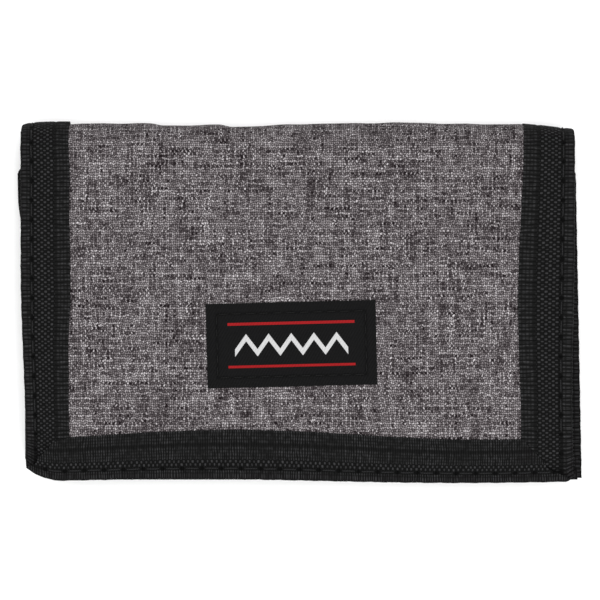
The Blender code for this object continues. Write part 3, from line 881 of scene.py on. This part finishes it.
def back_cloth_point(x, run):
    """The back's fabric dives under the zip along both its edges."""
    from_zip = abs(run_at(run) - ZIP_Y) - ZIP_OPENING_HALF
    hem = 1.9 * MM * (1.0 - smooth(from_zip, 0.0, 2.2 * MM))
    seam = 0.18 * MM * bump(from_zip, ZIP_HEM_INSET, 0.45 * MM)
    return (x, *around_fold(run, cloth_depth(x, run) + hem + seam, False))


def is_under_side_tapes(x):
    """Whether the side tapes hold the fabric at x."""
    return min(x - LEFT_X, RIGHT_X - x) - TAPE_WIDTH < 1.0 * MM


def flap_is_sewn(point):
    """Under the tapes, along the fold's middle and under the label."""
    x, y, z = point
    low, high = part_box("label_patch")
    on_label = low.x - MM < x < high.x + MM and low.y - MM < y < high.y + MM and z > FOLD_RADIUS
    at_ends = z < FOLD_RADIUS + 0.6 * MM or y < FREE_Y + 11.5 * MM
    return is_under_side_tapes(x) or at_ends or on_label


def back_is_sewn(point):
    """Under the tapes, along the fold's middle and along the zip's hems."""
    x, y, z = point
    near_zip = abs(y - ZIP_Y) < ZIP_OPENING_HALF + 4.2 * MM
    at_ends = z > FOLD_RADIUS - 0.6 * MM or y < BACK_FREE_Y + 11.5 * MM
    return is_under_side_tapes(x) or at_ends or near_zip


def outer_cloth(name, rows, place, is_sewn, swell, upper):
    """Outer fabric between two runs, simulated and finished."""
    first_x = LEFT_X + SIDE_TUCK
    columns = steps(first_x, first_x + CLOTH_WIDTH, CLOTH_STEP)
    sign = -1.0 if upper else 1.0
    cloth = grid_piece(name, columns, rows, place, lambda x, run: (x, sign * run), flip=upper)
    settle(cloth, is_sewn, swell)
    return dress(thicken(cloth, CLOTH_THICKNESS), heather)


# -------------------------------------------------------------- binding tape

def ride_back(obj):
    """Fix a piece to the back half."""
    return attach(obj, "back")


def sewn_tape(strip, material, nodes, seam, flat, join):
    """Finish a folded tape; join ties it and its seam to their bodies."""
    join(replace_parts(dress(strip, material), *nodes))
    join(seam)


def folded_width(thickness):
    """Flat width of a tape that is folded over an edge of some thickness."""
    return 2.0 * TAPE_WIDTH + thickness - 1.5 * MM


def tape_relief(inset, pinch):
    """Depth of the tape's face: pinched at the edge, grooved at the seams."""
    slope = pinch * (1.0 - smooth(inset, 1.2 * MM, 8.0 * MM))
    seam = 0.26 * MM * bump(inset, STITCH_INSET, 0.5 * MM)
    groove = 0.12 * MM * bump(inset, SECOND_GROOVE, 0.35 * MM)
    return slope + seam + groove


def tape_section(thickness, pinch):
    """Tape folded over an edge, seen end on.

    Returns (position across the tape, distance from the edge, depth) from
    the upper lip, around the edge, to the lower lip.
    """
    flats = steps(TAPE_NOSE, TAPE_WIDTH, TAPE_STEP_ACROSS)
    section = [(inset, inset, tape_relief(inset, pinch)) for inset in flats[::-1]]
    half = thickness / 2.0 - pinch
    for index in range(1, 10):
        bulge, out = squared_circle(math.pi * index / 10.0, 0.6, 0.55)
        across = TAPE_NOSE * (1.0 - 2.0 * index / 10.0)
        section.append((across, TAPE_NOSE - TAPE_NOSE * out, thickness / 2.0 - half * bulge))
    return section + [(-inset, inset, thickness - tape_relief(inset, pinch)) for inset in flats]


# Positions across the tape, the same for every thickness
ACROSS_TAPE = [point[0] for point in tape_section(FLAP_DEPTH, 0.0)]


def end_dip(to_end, pinch):
    """How deep a side tape lies under the bottom tape that crosses its end."""
    dip = 0.45 * MM * (1.0 - smooth(to_end, 10.5 * MM, 13.0 * MM))
    return dip + tape_relief(max(0.0, to_end), pinch) * (1.0 - smooth(to_end, 7.9 * MM, 8.2 * MM))


def facing_of(across):
    """1 on a folded tape's upper face, -1 on its lower face, between them at the nose."""
    return max(-1.0, min(1.0, across / TAPE_NOSE))


def side_tape_point(half, edge, inner, index, run, rise=0.0):
    """A point of a side tape's section, or of its seam where index is None."""
    full = smooth(run, 4.0 * MM, QUARTER_TURN + 9.0 * MM)
    thickness = SPINE_DEPTH + (half.depth - SPINE_DEPTH) * full
    pinch = (0.2 + 0.95 * full) * MM
    dip = end_dip(half.run - run, pinch)
    if index is None:
        inset = STITCH_INSET
        level = tape_relief(STITCH_INSET, pinch) - rise + dip
    else:
        across, inset, level = tape_section(thickness, pinch)[index]
        level += dip * facing_of(across)
    y_flat = run_at(run)
    edge_x = edge(y_flat)
    x = edge_x + inset * (inner(y_flat) - edge_x) / TAPE_WIDTH
    y, z = around_fold(run, level + fold_sag(x, run), half.upper)
    if run > QUARTER_TURN:
        y += (half.edge(x) - half.free_y) * smooth(-y, 28.0 * MM, -FREE_Y)
    return x, y, z


def bind_side(half, word, edge, inner, nodes, last_run, flat_run):
    """Tape and seam along one side of a half, from the fold's middle line outwards."""
    def place(index, run):
        return side_tape_point(half, edge, inner, index, run)

    def seam_point(run, rise):
        return side_tape_point(half, edge, inner, None, run, rise)

    name = half.name + "_" + word
    rows = steps(0.0, last_run, TAPE_STEP_ALONG)
    strip = grid_piece(name + "_tape", range(len(ACROSS_TAPE)), rows, place,
                       lambda index, run: (ACROSS_TAPE[index], run), flip=(word == "left") != half.upper)
    thicken(strip, TAPE_THICKNESS)
    seam = stitches(name + "_seam", seam_point, 0.0, half.run - SIDE_SEAM_END)
    sewn_tape(strip, tape, nodes, seam, (folded_width(half.depth), flat_run), half.bend)


def free_edge_tape(name, skin_z, inward, depth, edge, inner, ends, pinch):
    """Tape along a free edge.

    Its outer face lies at skin_z and its depth grows in the inward
    direction, 1 or -1. ends(inset) gives where the tape starts and stops.
    """
    section = tape_section(depth, pinch)
    columns = steps(0.0, 1.0, TAPE_STEP_ALONG / (RIGHT_X - LEFT_X))

    def along(share, across):
        low_x, high_x = ends(abs(across))
        return low_x + (high_x - low_x) * share

    def place(share, index):
        across, inset, level = section[index]
        x = along(share, across)
        return x, edge(x) + inset * (inner(x) - edge(x)) / TAPE_WIDTH, skin_z + inward * level

    def uv_of(share, index):
        return section[index][0], along(share, section[index][0])

    strip = grid_piece(name, columns, range(len(section)), place, uv_of, flip=inward < 0.0)
    return thicken(strip, TAPE_THICKNESS)


def bind_free_edge(half, first_x, last_x, flat_width):
    """Tape along a half's free edge, and its seam between two places."""
    def seam_point(x, rise):
        y = half.edge(x) + STITCH_INSET * (half.inner(x) - half.edge(x)) / TAPE_WIDTH
        return x, y, half.skin_z + half.inward * (tape_relief(STITCH_INSET, half.pinch) - rise)

    name = half.name + "_bottom"
    strip = free_edge_tape(name + "_tape", half.skin_z, half.inward, half.depth,
                           half.edge, half.inner, half.ends, half.pinch)
    seam = stitches(name + "_seam", seam_point, first_x, last_x)
    sewn_tape(strip, end_tape, (name + "_binding",), seam, (flat_width, folded_width(half.depth)),
              lambda piece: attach(piece, half.name))


# -------------------------------------------------- outer faces and the label

def make_flap_outside():
    """The flap's fabric, side tapes and bottom tape."""
    cloth_run = FLAP_RUN - FREE_TUCK
    rows = steps(0.0, cloth_run, CLOTH_STEP)
    cloth = outer_cloth("flap_cloth", rows, flap_cloth_point, flap_is_sewn, CLOTH_SWELL, True)
    bend_flap(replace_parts(cloth, "flap_shell", "spine_shell"))
    tape_run = FLAP_RUN - 0.3 * MM
    for word, edge, inner in FLAP.sides:
        nodes = ("flap_" + word + "_binding", "spine_" + word + "_binding")
        bind_side(FLAP, word, edge, inner, nodes, tape_run, tape_run)
    bind_free_edge(FLAP, LEFT_X + 5.0 * MM, RIGHT_X - 3.0 * MM, RIGHT_X - LEFT_X - 9.0 * MM)


def make_label():
    """Satin label sewn on by a rectangle of stitches."""
    low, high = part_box("label_patch")
    centre = (low + high) / 2.0 + Vector((0.25 * MM, -0.3 * MM, 0.0))
    turn = Matrix.Rotation(LABEL_TURN, 3, "Z")
    half_x, half_y = LABEL_SIZE[0] / 2.0, LABEL_SIZE[1] / 2.0

    def on_label(x, y, rise=0.0):
        spot = turn @ Vector((x, y, 0.0)) + Vector((centre.x, centre.y, 0.0))
        rim = min(half_x - abs(x), half_y - abs(y))
        pillow = 0.16 * MM * smooth(rim, 0.0, 1.2 * MM)
        seam = 0.14 * MM * bump(rim, LABEL_SEAM_INSET, 0.5 * MM)
        depth = cloth_depth(spot.x, run_at(spot.y))
        spot.z = THICKNESS - depth + 0.30 * MM + pillow - seam + rise
        return spot

    columns = steps(-half_x, half_x, LABEL_STEP)
    rows = steps(-half_y, half_y, LABEL_STEP)
    patch = thicken(grid_piece("label_patch_cloth", columns, rows, on_label), 0.4 * MM)
    install(patch, satin, "label_patch", "flap")
    corner = (half_x - LABEL_SEAM_INSET, half_y - LABEL_SEAM_INSET)
    seam = rectangle_seam("label_seam", (-corner[0], -corner[1]), corner, 3.1 * MM, on_label)
    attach(dress(seam, label_thread), "flap")


def back_cloth(word, first_run, last_run):
    """One of the two strips of the back's fabric, parted by the zip."""
    rows = steps(first_run, last_run, BACK_CLOTH_STEP_ALONG)
    swell = 0.5 * CLOTH_SWELL
    cloth = outer_cloth("back_cloth_" + word, rows, back_cloth_point, back_is_sewn, swell, False)
    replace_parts(cloth, "back_shell_" + word)
    if word == "upper":
        bend_back(cloth)
    else:
        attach(cloth, "back")
    last_run - first_run


def make_back_outside():
    """The back's fabric, its tapes and the seams along the zip."""
    back_cloth("upper", 0.0, run_at(ZIP_Y + ZIP_OPENING_HALF))
    back_cloth("lower", run_at(ZIP_Y - ZIP_OPENING_HALF), BACK_RUN - FREE_TUCK)
    for word, edge, inner in BACK.sides:
        bind_side(BACK, word, edge, inner, ("back_" + word + "_binding",), BACK_RUN - 0.6 * MM, BACK_RUN)
    bind_free_edge(BACK, LEFT_X + 3.0 * MM, RIGHT_X - 3.0 * MM, RIGHT_X - LEFT_X)
    first_x = LEFT_X + TAPE_WIDTH + 1.5 * MM
    last_x = RIGHT_X - TAPE_WIDTH - 1.5 * MM
    for word, side in (("lower", -1.0), ("upper", 1.0)):
        seam_run = run_at(ZIP_Y + side * (ZIP_OPENING_HALF + ZIP_HEM_INSET))

        def hem_point(x, rise):
            x, y, z = back_cloth_point(x, seam_run)
            return x, y, z - rise

        seam = stitches("zip_hem_seam_" + word, hem_point, first_x, last_x, 3.4 * MM, 0.18 * MM)
        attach(seam, "back")


# -------------------------------------------------------------------- zip

def zip_strip(word, side):
    """One woven tape of the zip, a little raised along its coil."""
    low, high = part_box("zip_tape_" + word)
    near = ZIP_Y + side * 1.35 * MM

    def place(x, reach):
        sway = 0.1 * MM * ripple(x, 50.0 * MM, 1.0 + side)
        bead = 0.25 * MM * bump(reach, 0.0, 0.9 * MM)
        return x, near + side * reach, low.z + sway * (1.0 - reach / ZIP_TAPE_WIDTH) - bead

    columns = steps(low.x + 8.0 * MM, high.x - 8.0 * MM, 0.8 * MM)
    rows = steps(0.0, ZIP_TAPE_WIDTH, 0.54 * MM)
    strip = grid_piece("zip_cloth_" + word, columns, rows, place,
                       lambda x, reach: (side * reach, x), flip=side > 0.0)
    return thicken(strip, 0.4 * MM)


def zip_coil(word, side):
    """One coil: a flattened helix whose heads lean towards the other row."""
    low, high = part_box("zip_coil_" + word)
    centre_z = (low.z + high.z) / 2.0
    turns = int((high.x - low.x) / ZIP_TOOTH_PITCH)
    per_turn = 12
    shift = 0.0 if side > 0.0 else 0.5
    run = []
    for index in range((turns - 1) * per_turn):
        angle = 2.0 * math.pi * index / per_turn
        lean = 0.22 * math.sin(angle)
        x = low.x + (index / per_turn + shift + lean + 0.3) * ZIP_TOOTH_PITCH
        y = ZIP_Y + side * (1.12 * MM - 0.6 * MM * math.cos(angle))
        run.append((x, y, centre_z + 0.38 * MM * math.sin(angle)))
    return tube("zip_teeth_" + word, [run], 0.2 * MM)


def rounded_outline(low, high, radius):
    """Points around a rectangle with rounded corners, seen along Z."""
    points = []
    corners = (
        (high.x - radius, high.y - radius, 0),
        (low.x + radius, high.y - radius, 1),
        (low.x + radius, low.y + radius, 2),
        (high.x - radius, low.y + radius, 3),
    )
    for x, y, quarter in corners:
        for index in range(5):
            angle = math.pi / 2.0 * (quarter + index / 4.0)
            points.append((x + radius * math.cos(angle), y + radius * math.sin(angle)))
    return points


def flat_metal(name, outlines, half_thickness, bevel, place):
    """A stamped plate with rounded edges at a place; inner outlines are holes."""
    curve = bpy.data.curves.new(name, "CURVE")
    curve.dimensions = "2D"
    curve.fill_mode = "BOTH"
    curve.extrude = half_thickness - bevel
    curve.bevel_depth = bevel
    curve.bevel_resolution = 2
    curve.offset = -bevel
    for outline in outlines:
        spline = curve.splines.new("POLY")
        spline.points.add(len(outline) - 1)
        for point, (x, y) in zip(spline.points, outline):
            point.co = (x, y, 0.0, 1.0)
        spline.use_cyclic_u = True
    source = add_object(name + "_curve", curve)
    mesh = applied_mesh(source)
    bpy.data.objects.remove(source)
    mesh.name = name
    mesh.shade_smooth()
    mesh.set_sharp_from_angle(angle=math.radians(40.0))
    obj = add_object(name, mesh)
    obj.location = place
    return obj


def make_zip():
    """Woven tapes, moulded coils and stops of the coin pocket's zip."""
    for word, side in (("lower", -1.0), ("upper", 1.0)):
        install(zip_strip(word, side), zip_cloth, "zip_tape_" + word, "back")
        install(zip_coil(word, side), nylon, "zip_coil_" + word, "back")
    stops = (("zip_top_stop_lower", 0.45), ("zip_top_stop_upper", 0.45), ("zip_bottom_stop", 0.4))
    for node, rounding in stops:
        low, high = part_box(node)
        outline = rounded_outline(low, high, rounding * MM)
        middle = (0.0, 0.0, (low.z + high.z) / 2.0)
        stop = flat_metal(node + "_clamp", [outline], (high.z - low.z) / 2.0, 0.12 * MM, middle)
        install(stop, metal, node, "back")


def shield_outline(half_length, rear_half, front_half):
    """Zip slider seen from its face: wide shoulders, narrow tail."""
    points = []
    for angle in full_turn(48):
        x, y = squared_circle(angle, 0.5, 0.45)
        x *= half_length
        share = (x + half_length) / (2.0 * half_length)
        points.append((x, y * (rear_half + (front_half - rear_half) * share)))
    return points


def crown_outline():
    """The slider's crown seen from its side: an arch of even thickness."""
    points = []
    for half_length, height, order in ((2.7, 1.5, range(25)), (2.1, 1.05, range(24, -1, -1))):
        for index in order:
            x, y = squared_circle(math.pi * index / 24, 0.55, 0.55)
            points.append((half_length * MM * x, height * MM * y))
    return points


def make_slider():
    """Metal zip slider: two plates, the post between them and the crown."""
    low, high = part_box("zip_slider")
    centre = Vector(((low.x + high.x) / 2.0, (low.y + high.y) / 2.0, 0.0))
    half_width = (high.y - low.y) / 2.0
    plate = shield_outline((high.x - low.x) / 2.0, half_width - 0.8 * MM, half_width)
    post = shield_outline(1.1 * MM, 0.1 * MM, 0.19 * MM)
    shapes = (
        ("slider_plate_outer", plate, 0.35, 0.16, (0.0, 0.0, 2.05)),
        ("slider_plate_inner", plate, 0.35, 0.16, (0.0, 0.0, 4.35)),
        ("slider_post", post, 1.0, 0.03, (2.2, 0.0, 3.2)),
        ("slider_crown", crown_outline(), 0.8, 0.12, (0.0, 0.0, 1.85)),
    )
    for name, outline, half_thickness, bevel, place in shapes:
        piece = flat_metal(name, [outline], half_thickness * MM, bevel * MM, centre + Vector(place) * MM)
        if name == "slider_crown":
            piece.rotation_euler = (-math.pi / 2.0, 0.0, 0.0)
        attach(dress(piece, metal), "slider")
        if name == "slider_plate_outer":
            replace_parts(piece, "zip_slider")


def make_pull():
    """The pull: a waisted tab with a slot for the crown and an eye."""
    joint = next(joint for joint in frame["joints"] if joint["name"] == "zip_pull_swing")
    length = joint["pos_m"][0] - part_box("zip_pull")[0].x
    outer = []
    for angle in full_turn(60):
        x, y = squared_circle(angle, 0.6, 0.5)
        x = -length / 2.0 + 0.15 * MM + (length / 2.0 + 0.15 * MM) * x
        waist = 0.42 * MM * bump(x, -0.33 * length, 0.14 * length)
        outer.append((x, y * (2.0 * MM - waist - 0.15 * MM * smooth(x, -3.0 * MM, 0.3 * MM))))
    slot = rounded_outline(Vector((-3.3, -1.1)) * MM, Vector((-0.35, 1.1)) * MM, 0.4 * MM)
    eye_x = -length + 2.4 * MM
    eye_radius = 0.95 * MM
    eye = [(eye_x + eye_radius * math.cos(angle), eye_radius * math.sin(angle)) for angle in full_turn(24)]
    pull = flat_metal("zip_pull_tab", [outer, slot, eye], 0.3 * MM, 0.12 * MM, joint["pos_m"])
    install(pull, metal, "zip_pull", "pull")


# ---------------------------------------------------------------- inside

def cloth_layer(node, body, material, facing, sway=0.06 * MM, step=1.6 * MM,
                inset=0.0, top_inset=0.0, is_trim=False):
    """A sewn-in sheet where the frame has its plain one, cut smaller by the insets."""
    low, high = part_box(node)
    low += Vector((inset, inset, 0.0))
    high -= Vector((inset, top_inset, 0.0))
    face_z = high.z if facing > 0 else low.z
    phase = 10.0 * low.z / MM

    def place(x, y):
        wave = ripple(x, 47.0 * MM, phase) + ripple(y, 31.0 * MM, phase + 2.0)
        return x, y, face_z + 0.5 * sway * wave

    def along_tape(x, y):
        return 9.3 * MM + y - low.y, x

    sheet = grid_piece(node + "_cloth", steps(low.x, high.x, step), steps(low.y, high.y, step), place,
                       along_tape if is_trim else None, flip=facing < 0)
    install(thicken(sheet, high.z - low.z), material, node, body)


def trim(node, body, facing):
    """Narrow tape along the top of a pocket panel."""
    cloth_layer(node, body, tape, facing, step=0.6 * MM, is_trim=True)


def fold_lining(half, far_depth):
    """Lining that crosses the fold on the inside."""
    near_depth = 2.2 * MM
    last_run = half.run - 3.0 * MM

    def place(x, run):
        full = smooth(run, 3.0 * MM, QUARTER_TURN + 8.0 * MM)
        crease = 0.12 * MM * ripple(x, 21.0 * MM, 0.9) * (1.0 - full)
        depth = near_depth + (far_depth - near_depth) * full + crease
        return (x, *around_fold(run, depth, half.upper))

    columns = steps(LEFT_X + SIDE_TUCK, RIGHT_X - SIDE_TUCK, 1.2 * MM)
    rows = steps(0.0, last_run, 0.9 * MM)
    cloth = grid_piece(half.name + "_lining_cloth", columns, rows, place,
                       lambda x, run: (x, half.inward * run), flip=not half.upper)
    dress(thicken(cloth, 0.2 * MM), lining)
    return cloth


def make_linings():
    """Linings of both halves and the foam behind their fabric."""
    upper = fold_lining(FLAP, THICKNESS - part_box("flap_lining")[0].z)
    bend_flap(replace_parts(upper, "flap_lining", "spine_lining"))
    lower = fold_lining(BACK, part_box("back_lining")[1].z)
    bend_back(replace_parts(lower, "back_lining"))
    for node in ("flap_padding", "back_padding_upper", "back_padding_lower"):
        body = node.split("_")[0]
        facing = 1 if body == "flap" else -1
        cloth_layer(node, body, foam, facing, sway=0.1 * MM, inset=7.0 * MM, top_inset=3.5 * MM)


def block_lean(y):
    """How far the pocket block's sides lean over at a height y."""
    return BLOCK_LEAN * ((BLOCK_TOP_Y + BLOCK_FREE_Y) / 2.0 - y)


def at_block_top(y):
    """1 at the block's top edge, 0 from 1 mm below it."""
    return smooth(y, BLOCK_TOP_Y - 1.0 * MM, BLOCK_TOP_Y)


def block_left(y):
    """The block's left side, tucked in below and drawn in at its top corner."""
    tucked = 0.85 * MM * (1.0 - smooth(y, 15.0 * MM, 24.0 * MM))
    return BLOCK_LEFT_X + block_lean(y) + tucked + 0.6 * MM * at_block_top(y)


def block_right(y):
    """The block's right side, drawn in at its top corner."""
    return BLOCK_RIGHT_X + block_lean(y) + uneven(y) - 0.5 * MM * at_block_top(y)


def block_edge(x):
    """Outer line of the block's bottom tape."""
    return BLOCK_FREE_Y - 0.4 * MM + 1.1 * left_corner(x)


def block_inner(x):
    """Inner line of the block's bottom tape."""
    return BLOCK_FREE_Y + TAPE_WIDTH


def block_tape_ends(inset):
    """Where the block's bottom tape starts and stops."""
    return slanted_ends(block_left(BLOCK_FREE_Y), block_right(BLOCK_FREE_Y), 1.0, inset)


def block_side_tape(word, edge, inward):
    """Leaning tape along one side of the pocket block."""
    node = "pocket_" + word + "_binding"
    low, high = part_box(node)
    section = tape_section(high.z - low.z, BLOCK_PINCH)

    def place(index, y):
        across, inset, level = section[index]
        x = edge(y) + inward * inset
        dip = end_dip(y - BLOCK_FREE_Y, BLOCK_PINCH) * facing_of(across)
        return x, y + 1.1 * left_corner(x) * smooth(-y, 28.0 * MM, -BLOCK_FREE_Y), high.z - level - dip

    def seam_point(y, rise):
        return edge(y) + inward * STITCH_INSET, y, high.z - tape_relief(STITCH_INSET, BLOCK_PINCH) + rise

    name = "block_" + word + "_tape"
    strip = grid_piece(name, range(len(section)), steps(BLOCK_FREE_Y, BLOCK_TOP_Y, TAPE_STEP_ALONG), place,
                       lambda index, y: (section[index][0], y), flip=inward > 0.0)
    thicken(strip, BLOCK_TAPE_THICKNESS)
    seam = stitches(name + "_seam", seam_point, BLOCK_FREE_Y + 11.0 * MM, BLOCK_TOP_Y - 1.0 * MM)
    flat = (folded_width(high.z - low.z), BLOCK_TOP_Y - BLOCK_FREE_Y)
    sewn_tape(strip, tape, (node,), seam, flat, ride_back)


def block_bottom_tape():
    """Tape along the pocket block's free edge, and its seam."""
    node = "pocket_bottom_binding"
    low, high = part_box(node)
    depth = high.z - low.z

    def seam_point(x, rise):
        return x, block_edge(x) + STITCH_INSET, high.z - tape_relief(STITCH_INSET, BLOCK_PINCH) + rise

    strip = free_edge_tape("block_bottom_tape", high.z, -1.0, depth, block_edge, block_inner,
                           block_tape_ends, BLOCK_PINCH)
    seam = stitches("block_bottom_seam", seam_point, BLOCK_LEFT_X + 5.0 * MM, BLOCK_RIGHT_X - 2.0 * MM)
    flat = (BLOCK_RIGHT_X - BLOCK_LEFT_X, folded_width(depth))
    sewn_tape(strip, end_tape, (node,), seam, flat, ride_back)


def lines_around_hole(low, hole, high):
    """Grid lines that meet both sides of a hole."""
    return np.concatenate([
        steps(low, hole[0], WINDOW_STEP)[:-1],
        steps(hole[0], hole[1], WINDOW_STEP)[:-1],
        steps(hole[1], high, WINDOW_STEP),
    ])


def make_window():
    """Pocket front with a clear window and a sewn edge around it."""
    low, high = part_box("id_window_frame")
    film_low, film_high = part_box("id_window_film")
    hole_x = (film_low.x - 0.3 * MM, film_high.x + 0.3 * MM)
    hole_y = (film_low.y - 0.3 * MM, film_high.y + 0.3 * MM)

    def place(x, y):
        return x, y, high.z + 0.03 * MM * ripple(x, 40.0 * MM, 0.7)

    def keep(x, y):
        return not (hole_x[0] < x < hole_x[1] and hole_y[0] < y < hole_y[1])

    columns = lines_around_hole(low.x, hole_x, high.x)
    rows = lines_around_hole(low.y, hole_y, high.y)
    front = thicken(grid_piece("id_window_front", columns, rows, place, keep=keep), high.z - low.z)
    install(front, lining, "id_window_frame", "back")
    cloth_layer("id_window_film", "back", clear_film, 1, sway=0.05 * MM)
    seam_low = (hole_x[0] - WINDOW_SEAM_INSET, hole_y[0] - WINDOW_SEAM_INSET)
    seam_high = (hole_x[1] + WINDOW_SEAM_INSET, hole_y[1] + WINDOW_SEAM_INSET)
    seam = rectangle_seam("id_window_seam", seam_low, seam_high, 3.2 * MM,
                          lambda x, y, rise: (x, y, high.z + rise))
    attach(dress(seam, thread), "back")


def make_pocket_block():
    """Bound pocket panels of the back half, with the window pocket."""
    block_side_tape("left", block_left, 1.0)
    block_side_tape("right", block_right, -1.0)
    block_bottom_tape()
    cloth_layer("pocket_panel_back", "back", lining, 1, inset=4.5 * MM)
    trim("pocket_top_binding", "back", 1)
    make_window()
    cloth_layer("loop_strip", "back", loops, 1, sway=0.02 * MM)


def make_flap_inside():
    """Card slots with taped top edges, and the hook strip."""
    cloth_layer("pocket_panel_flap", "flap", lining, -1, inset=4.5 * MM)
    trim("flap_panel_trim", "flap", -1)
    for number in ("1", "2", "3"):
        cloth_layer("card_slot_" + number, "flap", lining, -1)
        trim("card_slot_trim_" + number, "flap", -1)
    cloth_layer("hook_strip", "flap", hooks, -1, sway=0.02 * MM)


# --------------------------------------------------------- stage and camera

def area_light(name, place, size, power):
    """A square soft light aimed at the wallet's middle."""
    data = bpy.data.lights.new(name, "AREA")
    data.shape = "SQUARE"
    data.size = size
    data.energy = power
    lamp = add_object(name, data)
    lamp.location = place
    lamp.rotation_euler = (-Vector(place)).to_track_quat("-Z", "Y").to_euler()


def make_stage():
    """A plain near-white floor, a white world and soft lights."""
    bpy.ops.mesh.primitive_plane_add(size=6.0, location=(0.0, 0.0, -0.2 * MM))
    floor = bpy.context.object
    floor.name = "floor"
    floor.data.materials.append(Graph("floor_white").finish(linear((250, 250, 250)), 0.9))
    world = bpy.data.worlds.new("studio")
    world.use_nodes = True
    background = world.node_tree.nodes["Background"]
    background.inputs["Color"].default_value = (1.0, 1.0, 1.0, 1.0)
    background.inputs["Strength"].default_value = 0.55
    bpy.context.scene.world = world
    area_light("key", (-0.06, 0.12, 1.0), 1.0, 12.0)
    area_light("fill", (0.3, -0.6, 0.7), 0.7, 4.0)


def make_camera():
    """A long lens straight above, wide enough for the whole wallet."""
    data = bpy.data.cameras.new("camera")
    data.lens = 250.0
    data.sensor_width = 36.0
    data.clip_start = 0.01
    distance = 137.8 * MM * data.lens / data.sensor_width
    camera = add_object("camera", data)
    camera.location = (0.1 * MM, 0.46 * MM, THICKNESS + distance)
    bpy.context.scene.camera = camera
    bpy.context.scene.view_settings.view_transform = "Standard"


make_flap_outside()
make_label()
make_back_outside()
make_zip()
make_slider()
make_pull()
make_linings()
make_pocket_block()
make_flap_inside()
make_stage()
make_camera()
